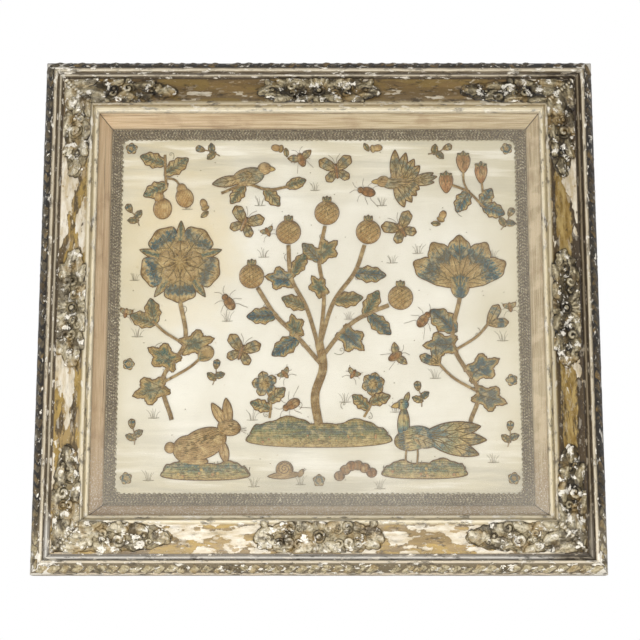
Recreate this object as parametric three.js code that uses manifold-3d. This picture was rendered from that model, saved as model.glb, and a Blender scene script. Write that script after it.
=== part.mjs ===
// A framed stumpwork picture: a reverse-profile gilt frame with corner and centre ornaments, a pane of
// glass, sloping wood slips, and an ivory satin ground edged with braid that carries padded motifs.
// Millimetres. The picture is drawn facing the viewer (x right, y up, z towards the viewer) and then
// stood up, so that +Z is up, the picture faces -Y and the flat back lies on the plane y = 0.

import * as THREE from 'three';
import * as BufferGeometryUtils from 'three/addons/utils/BufferGeometryUtils.js';
import Module from 'manifold-3d';

const wasm = await Module();
wasm.setup();

// Driving dimensions of the frame
const FRAME_WIDTH = 560;
const FRAME_HEIGHT = 521;
const JOINT_GAP = 0.3;
const RABBET_WALL = 50.3;
const SIGHT_EDGE = 56.9;
const LIP_BACK = 27.5;
const HANGING_POINT = 25;

// Driving dimensions of what the frame holds, front to back
const GLASS_THICKNESS = 2.0;
const SLIP_TOE = 68.1;
const SLIP_SHOULDER = 57.2;
const SLIP_TOE_THICKNESS = 0.8;
const BRAID_WIDTH = 10.6;
const BRAID_THICKNESS = 1.2;
const BRAID_CORNER_RADIUS = 7;
const SATIN_FRONT = 7.6;
const SATIN_THICKNESS = 1.6;
const BACKBOARD_THICKNESS = 4.0;

// Ornaments: how thick the plate is over the band, and how far the arms and cartouches reach
const PLATE_THICKNESS = 2.4;
const BAND_OUTER = 20.6;
const BAND_INNER = 50.2;
const LUMP_SEAT = 0.6 * PLATE_THICKNESS;
const CUTTER_HEIGHT = 60;

const ACROSS = { length: FRAME_WIDTH, reach: FRAME_HEIGHT / 2 };
const UPRIGHT = { length: FRAME_HEIGHT, reach: FRAME_WIDTH / 2 };
const SIDES = [
  { name: 'bottom', turn: 0, ...ACROSS, arm: 140, cartouche: 124 },
  { name: 'right', turn: Math.PI / 2, ...UPRIGHT, arm: 127, cartouche: 116 },
  { name: 'top', turn: Math.PI, ...ACROSS, arm: 138, cartouche: 121 },
  { name: 'left', turn: -Math.PI / 2, ...UPRIGHT, arm: 127, cartouche: 115 },
];

// Section of a rail: distance in from the outer edge, height above the flat back
const LEAF_EDGE = [
  [0, 15.5], [0.8, 20.0], [3.2, 25.6], [6.8, 30.2], [10.2, 32.8], [11.6, 32.4],
];
const FILLET_AND_BEAD = [
  [13.4, 31.4], [14.0, 27.6], [14.9, 27.0], [15.3, 28.0],
  [16.3, 28.6], [17.3, 28.0], [17.8, 26.4], [18.6, 25.6],
];
const BAND = [
  [20.0, 25.8], [25.0, 26.6], [30.0, 28.4], [35.0, 31.0], [40.0, 34.2], [45.0, 37.2], [50.6, 39.7],
];
const SIGHT_MOULDING = [
  [51.8, 39.2], [52.6, 36.2], [53.8, 32.2], [55.2, 32.6], [56.4, 31.6],
];
const RAIL_SECTION = [
  [0, 0], ...LEAF_EDGE, ...FILLET_AND_BEAD, ...BAND, ...SIGHT_MOULDING,
  [SIGHT_EDGE, 30.4], [SIGHT_EDGE, LIP_BACK], [RABBET_WALL, LIP_BACK], [RABBET_WALL, 0],
];

const finish = {
  rail: { color: 0x6f5f45, roughness: 0.62, metalness: 0.25 },
  ornament: { color: 0x5a5140, roughness: 0.6, metalness: 0.25 },
  glass: { color: 0xe9efec, roughness: 0.05, metalness: 0.0 },
  slip: { color: 0xa08a68, roughness: 0.7, metalness: 0.0 },
  satin: { color: 0xe4dfcd, roughness: 0.45, metalness: 0.0 },
  braid: { color: 0x8a8068, roughness: 0.5, metalness: 0.5 },
  backboard: { color: 0x8b6b48, roughness: 0.85, metalness: 0.0 },
  goldSilk: { color: 0x9a7a4c, roughness: 0.8, metalness: 0.0 },
  greenSilk: { color: 0x6f7c5c, roughness: 0.8, metalness: 0.0 },
  blueSilk: { color: 0x4f6a70, roughness: 0.8, metalness: 0.0 },
  brownSilk: { color: 0x6e5434, roughness: 0.8, metalness: 0.0 },
};

const picture = new THREE.Group();

function addPiece(name, geometry, look) {
  const mesh = new THREE.Mesh(geometry, new THREE.MeshStandardMaterial(look));
  mesh.name = name;
  picture.add(mesh);
}

// Joins and cuts

function toSolid(geometry) {
  const bare = geometry.index ? geometry.toNonIndexed() : geometry.clone();
  bare.deleteAttribute('normal');
  bare.deleteAttribute('uv');
  const merged = BufferGeometryUtils.mergeVertices(bare, 1e-4);
  const corners = merged.index.array;
  const kept = [];
  for (let i = 0; i < corners.length; i += 3) {
    const [a, b, c] = [corners[i], corners[i + 1], corners[i + 2]];
    if (a !== b && b !== c && c !== a) kept.push(a, b, c);
  }
  return new wasm.Manifold(new wasm.Mesh({
    numProp: 3,
    vertProperties: new Float32Array(merged.attributes.position.array),
    triVerts: new Uint32Array(kept),
  }));
}

function toGeometry(solid) {
  const mesh = solid.getMesh();
  const geometry = new THREE.BufferGeometry();
  geometry.setAttribute('position', new THREE.BufferAttribute(new Float32Array(mesh.vertProperties), 3));
  geometry.setIndex(new THREE.BufferAttribute(new Uint32Array(mesh.triVerts), 1));
  return geometry;
}

function joined(geometries) {
  let solid = toSolid(geometries[0]);
  for (const geometry of geometries.slice(1)) solid = solid.add(toSolid(geometry));
  return toGeometry(solid);
}

function trimmed(geometry, cutters) {
  let solid = toSolid(geometry);
  for (const cutter of cutters) solid = solid.subtract(toSolid(cutter));
  return toGeometry(solid);
}

function moved(geometry, x, y, z = 0, turn = 0) {
  geometry.rotateZ(turn);
  geometry.translate(x, y, z);
  return geometry;
}

// A straight run along one side of the frame, cut to a mitre at both ends. The section is drawn as
// distance in from the outer edge and height above the back; trim shortens each end along the run.
function mitredRun(section, side, trim) {
  const outline = new THREE.Shape(section.map(([inward, height]) => new THREE.Vector2(inward, height)));
  const geometry = new THREE.ExtrudeGeometry(outline, { depth: side.length, steps: 1, bevelEnabled: false });
  const position = geometry.attributes.position;
  for (let i = 0; i < position.count; i += 1) {
    const inward = position.getX(i);
    const height = position.getY(i);
    const end = position.getZ(i) > side.length / 2 ? -1 : 1;
    position.setXYZ(i, end * (inward + trim - side.length / 2), inward - side.reach, height);
  }
  return moved(geometry, 0, 0, 0, side.turn);
}

const MITRE_TRIM = JOINT_GAP / Math.SQRT2;

for (const side of SIDES) {
  addPiece(`rail_${side.name}`, mitredRun(RAIL_SECTION, side, MITRE_TRIM), finish.rail);
}

// Glass, slips, satin and backboard

function plate(width, height, back, thickness) {
  const geometry = new THREE.BoxGeometry(width, height, thickness);
  return moved(geometry, 0, 0, back + thickness / 2);
}

const rabbetWidth = FRAME_WIDTH - 2 * (RABBET_WALL + JOINT_GAP);
const rabbetHeight = FRAME_HEIGHT - 2 * (RABBET_WALL + JOINT_GAP);
const glassBack = LIP_BACK - JOINT_GAP - GLASS_THICKNESS;
const workBase = SATIN_FRONT + JOINT_GAP;

addPiece('glass', plate(rabbetWidth, rabbetHeight, glassBack, GLASS_THICKNESS), finish.glass);
addPiece('satin_ground', plate(rabbetWidth, rabbetHeight, SATIN_FRONT - SATIN_THICKNESS, SATIN_THICKNESS),
  finish.satin);
addPiece('backboard', plate(rabbetWidth, rabbetHeight,
  SATIN_FRONT - SATIN_THICKNESS - JOINT_GAP - BACKBOARD_THICKNESS, BACKBOARD_THICKNESS), finish.backboard);

const slipSection = [
  [RABBET_WALL + JOINT_GAP, workBase], [RABBET_WALL + JOINT_GAP, glassBack - JOINT_GAP],
  [SLIP_SHOULDER, glassBack - JOINT_GAP], [SLIP_TOE, workBase + SLIP_TOE_THICKNESS], [SLIP_TOE, workBase],
];
for (const side of SIDES) {
  addPiece(`slip_${side.name}`, mitredRun(slipSection, side, MITRE_TRIM), finish.slip);
}

// Braid: a flat strip on each side, whose inner corners are rounded where it is turned

const braidOuter = SLIP_TOE + JOINT_GAP;

function braidStrip(side) {
  const outer = side.length / 2 - braidOuter - MITRE_TRIM;
  const inner = outer - BRAID_WIDTH;
  const round = BRAID_CORNER_RADIUS;
  const slack = round * (1 - Math.SQRT1_2);
  const outline = new THREE.Shape();
  outline.moveTo(-outer, 0);
  outline.lineTo(outer, 0);
  outline.lineTo(inner - slack, BRAID_WIDTH + slack);
  outline.absarc(inner - round, BRAID_WIDTH + round, round, -Math.PI / 4, -Math.PI / 2, true);
  outline.absarc(-inner + round, BRAID_WIDTH + round, round, -Math.PI / 2, -3 * Math.PI / 4, true);
  const geometry = new THREE.ExtrudeGeometry(outline, {
    depth: BRAID_THICKNESS, bevelEnabled: false, curveSegments: 4,
  });
  geometry.translate(0, braidOuter - side.reach, workBase);
  return moved(geometry, 0, 0, 0, side.turn);
}

for (const side of SIDES) addPiece(`braid_${side.name}`, braidStrip(side), finish.braid);

// Ornaments on the band

function bandHeight(inward) {
  for (let i = 1; i < BAND.length; i += 1) {
    const [startInward, startHeight] = BAND[i - 1];
    const [endInward, endHeight] = BAND[i];
    if (inward <= endInward) {
      const share = Math.max(0, (inward - startInward) / (endInward - startInward));
      return startHeight + share * (endHeight - startHeight);
    }
  }
  return BAND[BAND.length - 1][1];
}

function bandLayer(side, lift) {
  const surface = BAND.map(([inward, height]) => [inward, height + lift]);
  const section = [[BAND[0][0], 0], ...surface, [BAND.at(-1)[0], 0]];
  return mitredRun(section, side, 0);
}

// A plate's outline in plan, tall enough to be cut down to the band's own curve
function plateBlock(points) {
  const outline = new THREE.Shape(points.map(([along, inward]) => new THREE.Vector2(along, inward)));
  return new THREE.ExtrudeGeometry(outline, { depth: CUTTER_HEIGHT, bevelEnabled: false });
}

// A carved lump: a flattened ball, half sunk into the plate
function lump({ along, inward, long, wide, turn, rise }) {
  const ball = new THREE.SphereGeometry(1, 6, 4);
  ball.rotateX(Math.PI / 2);
  ball.scale(long / 2, wide / 2, rise);
  return moved(ball, along, inward, bandHeight(inward) + LUMP_SEAT, turn);
}

function onSide(geometry, side) {
  geometry.translate(0, -side.reach, 0);
  return moved(geometry, 0, 0, 0, side.turn);
}

// Shares run from the middle of a cartouche, or from the outer corner of an arm, to its tip
const CARTOUCHE_OUTLINE = [
  { share: 1.0, inward: 34 }, { share: 0.9, inward: 26 }, { share: 0.68, inward: 22.5 },
  { share: 0.4, inward: 21.4 }, { share: 0.16, inward: 23.5 },
];
const CARTOUCHE_LUMPS = [
  { share: 0.0, inward: 36, long: 16, wide: 16, turn: 0.0, rise: 5.4 },
  { share: 0.33, inward: 30, long: 30, wide: 10, turn: 0.35, rise: 4.4 },
  { share: 0.4, inward: 42, long: 28, wide: 9, turn: -0.3, rise: 4.0 },
  { share: 0.76, inward: 34, long: 22, wide: 13, turn: -0.2, rise: 4.4 },
];
const ARM_OUTLINE = [
  { share: 1.0, inward: 34 }, { share: 0.93, inward: 26 }, { share: 0.74, inward: 22.5 },
  { share: 0.5, inward: 21.4 },
];
const ARM_LUMPS = [
  { share: 0.88, inward: 34, long: 17, wide: 12, turn: 0.0, rise: 3.8 },
  { share: 0.68, inward: 29, long: 24, wide: 10, turn: 0.4, rise: 4.4 },
  { share: 0.64, inward: 42, long: 24, wide: 9, turn: -0.35, rise: 4.0 },
  { share: 0.44, inward: 31, long: 26, wide: 10, turn: 0.9, rise: 4.4 },
];
const MITRE_ROD_RADIUS = 2.4;
const OUTER_AND_INNER = BAND_OUTER + BAND_INNER;

function bothEdges(rows, reach) {
  const outer = rows.map(({ share, inward }) => [share * reach, inward]);
  const inner = rows.slice(1).reverse().map(({ share, inward }) => [share * reach, OUTER_AND_INNER - inward]);
  return [...inner, ...outer];
}

function seated(blocks, lumps, sides) {
  let solid = toSolid(onSide(blocks[0], sides[0])).intersect(toSolid(bandLayer(sides[0], PLATE_THICKNESS)));
  if (sides.length > 1) {
    const second = toSolid(onSide(blocks[1], sides[1]));
    solid = solid.add(second.intersect(toSolid(bandLayer(sides[1], PLATE_THICKNESS))));
  }
  for (const piece of lumps) solid = solid.add(toSolid(piece));
  for (const side of sides) solid = solid.subtract(toSolid(bandLayer(side, JOINT_GAP)));
  return toGeometry(solid);
}

function cartouche(side) {
  const half = side.cartouche / 2;
  const right = bothEdges(CARTOUCHE_OUTLINE, half);
  const left = right.map(([along, inward]) => [-along, inward]).reverse();
  const lumps = [];
  for (const { share, turn, ...shape } of CARTOUCHE_LUMPS) {
    lumps.push(onSide(lump({ ...shape, turn, along: share * half }), side));
    if (share > 0) lumps.push(onSide(lump({ ...shape, turn: -turn, along: -share * half }), side));
  }
  return seated([plateBlock([...right, ...left].reverse())], lumps, [side]);
}

// One arm of a corner ornament; end is +1 or -1, the end of the side that it starts from
function arm(side, end) {
  const toTip = bothEdges(ARM_OUTLINE, side.arm);
  const fromCorner = [...toTip, [BAND_OUTER, BAND_OUTER], [BAND_INNER, BAND_INNER]];
  const points = fromCorner.map(([along, inward]) => [end * (side.length / 2 - along), inward]);
  const lumps = ARM_LUMPS.map(({ share, turn, ...shape }) => onSide(lump({
    ...shape, turn: -end * turn, along: end * (side.length / 2 - share * side.arm),
  }), side));
  return { block: plateBlock(end > 0 ? points : points.reverse()), lumps };
}

// The ribbed stalk that covers the mitre between two arms
function mitreRod(side) {
  const points = [BAND_OUTER + 2, 30, 40, BAND_INNER - 2].map((inward) => new THREE.Vector3(
    side.length / 2 - inward, inward - side.reach, bandHeight(inward) + PLATE_THICKNESS));
  const section = new THREE.Shape();
  section.absarc(0, 0, MITRE_ROD_RADIUS, 0, 2 * Math.PI, false);
  const geometry = new THREE.ExtrudeGeometry(section, {
    extrudePath: new THREE.CatmullRomCurve3(points), steps: 3, curveSegments: 3, bevelEnabled: false,
  });
  return moved(geometry, 0, 0, 0, side.turn);
}

for (const [index, side] of SIDES.entries()) {
  addPiece(`cartouche_${side.name}`, cartouche(side), finish.ornament);
  const next = SIDES[(index + 1) % SIDES.length];
  const first = arm(side, 1);
  const second = arm(next, -1);
  const lumps = [...first.lumps, ...second.lumps, mitreRod(side)];
  addPiece(`corner_${side.name}_${next.name}`, seated([first.block, second.block], lumps, [side, next]),
    finish.ornament);
}

// Raised work: padded shapes and couched stems, sewn to the satin

const SLIP_FORMS = {
  round: (angle) => [Math.cos(angle), Math.sin(angle)],
  leaf: (angle) => [Math.cos(angle), Math.sin(angle) * Math.abs(Math.sin(angle)) ** 0.7],
  petal: (angle) => [Math.cos(angle), Math.sin(angle) * (0.74 + 0.26 * Math.cos(angle))],
  lobed: (angle) => [1, 1].map((one, axis) => (one + 0.13 * Math.cos(5 * angle))
    * (axis ? Math.sin(angle) : Math.cos(angle))),
  hill: (angle) => [Math.cos(angle), Math.sin(angle) * (Math.sin(angle) < 0 ? 0.5 : 1)],
};
const ROOT_OVERLAP = 2;
const STEM_SIDES = 6;
const STEM_STEPS = 6;
const PAD_STEPS = 8;
const ROOM_STEPS = 14;
const SMALL_PAD_STEPS = 6;
const PAD_PROFILE = [[0, 0], [1, 0], [0.68, 0.8], [0, 1]];

// A padded shape that rises to a soft crown. Its long axis points along turn, in degrees. A sprung shape
// starts at x and y and grows along turn; any other shape has its middle there.
function pad({ form = 'round', x, y, long, wide, turn = 0, rise, steps = PAD_STEPS, sprung = false }) {
  const geometry = new THREE.LatheGeometry(PAD_PROFILE.map(([r, h]) => new THREE.Vector2(r, h)), steps);
  const position = geometry.attributes.position;
  for (let i = 0; i < position.count; i += 1) {
    const radius = Math.hypot(position.getX(i), position.getZ(i));
    const angle = Math.atan2(position.getX(i), position.getZ(i));
    const [along, across] = SLIP_FORMS[form](angle);
    position.setXYZ(i, radius * along * long / 2, radius * across * wide / 2, position.getY(i) * rise);
  }
  if (sprung) geometry.translate(long / 2 - ROOT_OVERLAP, 0, 0);
  return moved(geometry, x, y, 0, THREE.MathUtils.degToRad(turn));
}

// A couched stem: a round cord laid along a smooth line
function stem(points, width, steps = STEM_STEPS) {
  const radius = width / 2;
  const path = new THREE.CatmullRomCurve3(points.map(([x, y]) => new THREE.Vector3(x, y, radius)));
  const section = new THREE.Shape();
  section.absarc(0, 0, radius, 0, 2 * Math.PI, false);
  return new THREE.ExtrudeGeometry(section, {
    extrudePath: path, steps, curveSegments: STEM_SIDES / 2, bevelEnabled: false,
  });
}

// Rows of pads: form, x, y, long, wide, turn, rise. Leaves and petals spring from x and y.
function pads(rows) {
  return rows.map(([form, x, y, long, wide, turn, rise]) => {
    const steps = form === 'leaf' ? SMALL_PAD_STEPS : PAD_STEPS;
    const sprung = form === 'leaf' || form === 'petal';
    return pad({ form, x, y, long, wide, turn, rise, steps, sprung });
  });
}

function circlet({ count, start = 0, radius = 0, ...shape }) {
  return Array.from({ length: count }, (_, i) => {
    const turn = start + 360 * i / count;
    const angle = THREE.MathUtils.degToRad(turn);
    return pad({ ...shape, turn, x: radius * Math.cos(angle), y: radius * Math.sin(angle), sprung: true });
  });
}

// Sets a motif down on the satin at its place and size, turned in degrees and flipped left to right if asked
function setDown(geometry, { x, y, turn = 0, size = 1, flip = false }) {
  const solid = toSolid(geometry);
  const placed = flip ? toGeometry(solid.mirror([1, 0, 0])) : toGeometry(solid);
  placed.scale(size, size, 1);
  return moved(placed, x, y, workBase, THREE.MathUtils.degToRad(turn));
}

function addMotif(name, parts, place, look, cutters = []) {
  const geometry = joined(parts);
  addPiece(name, setDown(cutters.length ? trimmed(geometry, cutters) : geometry, place), look);
}

// A cutter that keeps a motif clear of a round neighbour
function room(x, y, across) {
  const radius = across / 2 + JOINT_GAP;
  const cylinder = new THREE.CylinderGeometry(radius, radius, CUTTER_HEIGHT, ROOM_STEPS);
  cylinder.rotateX(Math.PI / 2);
  cylinder.translate(x, y, 0);
  return cylinder;
}

// The fruiting tree on its mound
const TREE_STEMS = [
  { width: 9.5, points: [[0, -114], [-4, -84], [4, -56], [0, -30]] },
  { width: 5.2, points: [[2, -52], [-22, -24], [-44, -2], [-62, 26]] },
  { width: 5.0, points: [[1, -40], [-12, 4], [-28, 36], [-31, 70]] },
  { width: 5.2, points: [[2, -46], [24, -18], [46, -2], [70, 8]] },
  { width: 5.0, points: [[0, -36], [14, 10], [36, 42], [46, 70]] },
  { width: 4.6, points: [[0, -36], [5, 16], [0, 56], [6, 90]] },
];
const TREE_LEAVES = [
  ['leaf', -21, -25, 32, 19, 215, 2.8], ['leaf', -22, -22, 26, 15, 105, 2.8],
  ['leaf', -43, -2, 30, 18, 183, 2.8],
  ['leaf', -13, 6, 27, 16, 158, 2.8], ['leaf', -28, 34, 32, 18, 172, 2.8], ['leaf', -26, 40, 26, 15, 60, 2.8],
  ['leaf', 1, 54, 26, 15, 135, 2.8], ['leaf', 0, 58, 30, 17, 42, 2.8], ['leaf', 36, 41, 32, 18, -4, 2.8],
  ['leaf', 15, 12, 30, 17, 8, 2.8], ['leaf', 24, -19, 34, 19, -42, 2.8], ['leaf', 46, -3, 30, 17, 62, 2.8],
  ['leaf', 50, -2, 30, 17, -42, 2.8], ['leaf', 4, 20, 26, 14, 122, 2.8],
];
const TREE_FRUITS = [[-68, 38], [-31, 84], [8, 104], [50, 84], [82, 16]];
const FRUIT_SIZE = 25;
const TREE_PLACE = { x: 0, y: 0 };
const TREE_MOUND = { form: 'hill', x: 0, y: -126, long: 146, wide: 36, rise: 4.5, steps: 16 };

function grown(shape) {
  const wider = { long: shape.long + 2 * JOINT_GAP, wide: shape.wide + 2 * JOINT_GAP };
  return pad({ ...shape, ...wider, rise: shape.rise + JOINT_GAP });
}

addMotif('tree_mound', [pad(TREE_MOUND)], TREE_PLACE, finish.greenSilk);
TREE_FRUITS.forEach(([x, y], index) => addMotif(`fruit_${index + 1}`, pads([
  ['round', 0, 0, FRUIT_SIZE, FRUIT_SIZE, 0, 6.4],
  ['leaf', 0, FRUIT_SIZE * 0.4, 9, 5, 60, 3], ['leaf', 0, FRUIT_SIZE * 0.4, 9, 5, 120, 3],
]), { x, y }, finish.goldSilk));
addMotif('tree', [
  ...TREE_STEMS.map(({ points, width }) => stem(points, width)), ...pads(TREE_LEAVES),
], TREE_PLACE, finish.greenSilk, [grown(TREE_MOUND), ...TREE_FRUITS.map(([x, y]) => room(x, y, FRUIT_SIZE))]);

// The two tall flower sprays, drawn about the middle of their blooms
const ROSE_PLACE = { x: -140, y: 52 };
const ROSE_REACH = 41;
addMotif('rose_bloom', [
  ...circlet({ count: 5, form: 'petal', radius: 8, long: ROSE_REACH - 6, wide: 42, rise: 3.4, start: -90 }),
  ...circlet({
    count: 5, form: 'petal', radius: 3, long: 22, wide: 22, rise: 5, start: -54, steps: SMALL_PAD_STEPS,
  }),
  pad({ x: 0, y: 0, long: 17, wide: 17, rise: 6.8 }),
], ROSE_PLACE, finish.goldSilk);
addMotif('rose_spray', [
  stem([[-6, -160], [-16, -120], [6, -82], [0, -38]], 5.2, 8),
  stem([[-14, -122], [10, -108], [24, -96]], 3.6),
  stem([[6, -84], [-14, -72], [-27, -60]], 3.6),
  ...pads([
    ['leaf', -14, -126, 38, 24, 198, 2.8], ['leaf', -4, -103, 36, 22, 150, 2.8],
    ['leaf', 5, -86, 36, 22, 15, 2.8], ['round', 27, -93, 17, 15, 40, 5.4],
    ['leaf', -25, -63, 26, 14, 100, 2.8], ['leaf', -25, -63, 26, 14, 160, 2.8],
  ]),
], ROSE_PLACE, finish.greenSilk, [room(0, 0, 2 * ROSE_REACH)]);

const CARNATION_PLACE = { x: 142, y: 28 };
const CARNATION_FAN = [-62, -32, 0, 32, 62];
addMotif('carnation_bloom', [
  ...CARNATION_FAN.map((lean) => pad({
    form: 'petal', x: 0, y: 0, long: 54, wide: 30, turn: 90 - lean, rise: 4.2, sprung: true,
  })),
  pad({ x: 0, y: 0, long: 26, wide: 19, turn: 90, rise: 6 }),
], CARNATION_PLACE, finish.goldSilk);
addMotif('carnation_spray', [
  stem([[8, -138], [16, -106], [-8, -60], [0, -6]], 5.2, 8),
  stem([[16, -108], [-8, -94], [-24, -78]], 3.6),
  stem([[-6, -66], [16, -52], [30, -36]], 3.6),
  ...pads([
    ['leaf', 15, -110, 36, 22, -18, 2.8], ['leaf', 9, -90, 38, 23, 28, 2.8],
    ['leaf', -7, -60, 36, 22, 182, 2.8],
    ['leaf', -5, -46, 32, 19, 140, 2.8], ['leaf', -23, -80, 22, 13, 100, 3.8],
    ['leaf', -23, -80, 22, 12, 155, 3.8],
    ['leaf', 28, -39, 24, 14, 62, 3.8], ['leaf', 28, -39, 22, 12, 5, 3.8],
  ]),
], CARNATION_PLACE, finish.greenSilk, [room(0, 0, 25)]);

// Beasts on their mounds
const HARE_PLACE = { x: -112, y: -129, size: 1.35 };
const PEACOCK_PLACE = { x: 104, y: -129, size: 1.3, flip: true };
const BEAST_MOUND = { form: 'hill', x: 0, y: -24, long: 66, wide: 18, rise: 3.4, steps: 12 };

addMotif('hare_mound', [pad(BEAST_MOUND)], HARE_PLACE, finish.greenSilk);
addMotif('peacock_mound', [pad(BEAST_MOUND)], PEACOCK_PLACE, finish.greenSilk);
addMotif('hare', pads([
  ['round', -2, -2, 36, 22, 22, 6], ['round', -13, -6, 22, 20, 0, 6.6], ['round', 17, 10, 17, 12, -10, 5.6],
  ['leaf', 14, 12, 21, 7, 122, 3.4], ['leaf', 17, 13, 21, 7, 98, 3.6], ['leaf', 12, -1, 18, 7, -78, 3.6],
  ['round', -8, -15, 20, 6, 0, 3.4], ['round', -26, -5, 8, 8, 0, 4],
]), HARE_PLACE, finish.goldSilk, [grown(BEAST_MOUND)]);
addMotif('peacock', [
  ...pads([
    ['round', 8, 2, 30, 18, -14, 6], ['leaf', 16, 1, 28, 9, 92, 4.4], ['round', 16, 28, 9, 8, 0, 4.4],
    ['leaf', 18, 28, 9, 4, -15, 2.6], ['leaf', 14, 30, 10, 4, 110, 2.2], ['leaf', 0, 4, 50, 13, 184, 3.6],
    ['leaf', 0, 5, 46, 13, 172, 3.4], ['leaf', 0, 3, 46, 13, 198, 3.2], ['leaf', 12, 4, 24, 11, 200, 7],
  ]),
  stem([[6, 0], [5, -10], [6, -20]], 2.2, 2), stem([[12, 0], [14, -10], [14, -20]], 2.2, 2),
], PEACOCK_PLACE, finish.blueSilk, [grown(BEAST_MOUND)]);

// Birds
addMotif('perched_bird', [
  ...pads([
    ['round', 0, 0, 26, 15, 12, 5.2], ['round', 13, 7, 11, 10, 0, 5], ['leaf', 16, 7, 8, 4, -8, 2.4],
    ['leaf', -6, -2, 26, 9, 190, 2.8], ['leaf', 6, 2, 22, 10, 196, 6.4],
  ]),
  stem([[-22, -14], [-2, -6.5], [16, -11], [34, -8]], 3),
  ...pads([
    ['leaf', 14, -11, 20, 12, -50, 2.6], ['leaf', -4, -8, 20, 12, 235, 2.6],
    ['leaf', 32, -8, 18, 11, 20, 2.6],
  ]),
], { x: -72, y: 142, size: 1.25 }, finish.goldSilk);
addMotif('flying_bird', pads([
  ['round', 0, 0, 26, 12, 8, 5], ['round', 14, 4, 10, 9, 0, 4.6], ['leaf', 17, 5, 8, 4, 10, 2.4],
  ['leaf', -8, -1, 20, 10, 178, 2.8], ['leaf', 2, 2, 30, 13, 118, 3.4], ['leaf', 0, -2, 28, 12, 232, 3.4],
]), { x: 84, y: 136, size: 1.2, turn: 10, flip: true }, finish.goldSilk);

// Sprigs of fruit and small flowers
addMotif('pear_sprig', [
  stem([[3, 30], [0, 12], [-2, -2]], 3.2), stem([[-1, 2], [-6, -4], [-9, -10]], 2.6, 3),
  stem([[0, 8], [8, 4], [12, -6]], 2.6, 3),
  ...pads([
    ['leaf', 1, 22, 26, 16, 150, 2.8], ['leaf', 0, 12, 28, 16, 24, 2.8], ['leaf', -1, 2, 26, 16, 196, 2.8],
    ['round', -9, -20, 20, 17, 80, 5.8], ['round', -10, -9, 11, 9, 80, 4.6],
    ['round', 13, -14, 19, 16, 100, 5.8], ['round', 12, -5, 10, 9, 100, 4.6],
  ]),
], { x: -154, y: 132, size: 1.1, turn: 12 }, finish.goldSilk);
addMotif('strawberry_sprig', [
  stem([[-24, -22], [-12, -12], [0, 0], [16, 7]], 3), stem([[0, 0], [4, 10], [4, 22]], 2.6, 3),
  stem([[-12, -12], [-13, 0], [-12, 14]], 2.6, 3),
  ...pads([
    ['leaf', -14, -14, 22, 16, 200, 2.8], ['leaf', -12, -12, 20, 14, 122, 2.8],
    ['leaf', 0, 0, 24, 16, -60, 2.8],
    ['round', 20, 8, 15, 17, 0, 5.4], ['round', 4, 27, 15, 17, 0, 5.4], ['round', -12, 17, 13, 15, 0, 5.4],
  ]),
], { x: 152, y: 126, size: 1.12, flip: true }, finish.goldSilk);

function smallFlower(petals, size) {
  return [
    ...circlet({
      count: petals, form: 'petal', long: size, wide: size * 0.85, rise: 3, start: 90, steps: SMALL_PAD_STEPS,
    }),
    pad({ x: 0, y: 0, long: size * 0.6, wide: size * 0.6, rise: 4.6, steps: SMALL_PAD_STEPS }),
  ];
}
const SPRIG_LEAVES = [['leaf', 0, -22, 20, 12, 150, 2.6], ['leaf', 1, -16, 20, 12, 30, 2.6]];
const SPRIGS = [
  { name: 'pansy_sprig', petals: 5, reach: 13, x: -54, y: -72, turn: 12, size: 1.15 },
  { name: 'daisy_sprig', petals: 6, reach: 12, x: 54, y: -72, turn: -12, size: 1.15 },
];
for (const { name, petals, reach, ...place } of SPRIGS) {
  addMotif(name, [
    ...smallFlower(petals, reach), stem([[0, -4], [2, -16], [-2, -30]], 2.8), ...pads(SPRIG_LEAVES),
  ], place, finish.goldSilk);
}

// Insects and small creatures
const BUTTERFLY_ROWS = [
  ['petal', 1, 2, 21, 15, 38, 2.4], ['petal', -1, 2, 21, 15, 142, 2.4], ['petal', 1, 0, 16, 12, -42, 2.2],
  ['petal', -1, 0, 16, 12, 222, 2.2], ['round', 0, 0, 16, 5, 90, 4],
];
const BUTTERFLIES = [
  { x: 18, y: 148, turn: 8 }, { x: -76, y: 92, turn: -24 },
  { x: 84, y: 86, turn: 30 }, { x: -78, y: -40, turn: -18 },
];
BUTTERFLIES.forEach((place, index) => addMotif(
  `butterfly_${index + 1}`, pads(BUTTERFLY_ROWS), place, finish.goldSilk));

const BEETLE_ROWS = [['round', 0, 0, 15, 9.5, 90, 4], ['round', 0, 8, 6.5, 5.6, 0, 3.2]];
const BEETLES = [
  { x: -90, y: 10, turn: 35 }, { x: 104, y: -8, turn: -40 },
  { x: 50, y: 126, turn: 75 }, { x: -26, y: -92, turn: 120 },
];
BEETLES.forEach((place, index) => addMotif(
  `beetle_${index + 1}`, pads(BEETLE_ROWS), place, finish.brownSilk));

const BEE_ROWS = [
  ['round', 0, 0, 15, 7.5, 90, 4], ['leaf', 1, 1, 15, 7, 25, 2.4], ['leaf', -1, 1, 15, 7, 155, 2.4],
];
const BEES = [{ x: -18, y: 160, turn: 20 }, { x: 76, y: -44, turn: -60 }];
BEES.forEach((place, index) => addMotif(`bee_${index + 1}`, pads(BEE_ROWS), place, finish.brownSilk));

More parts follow.
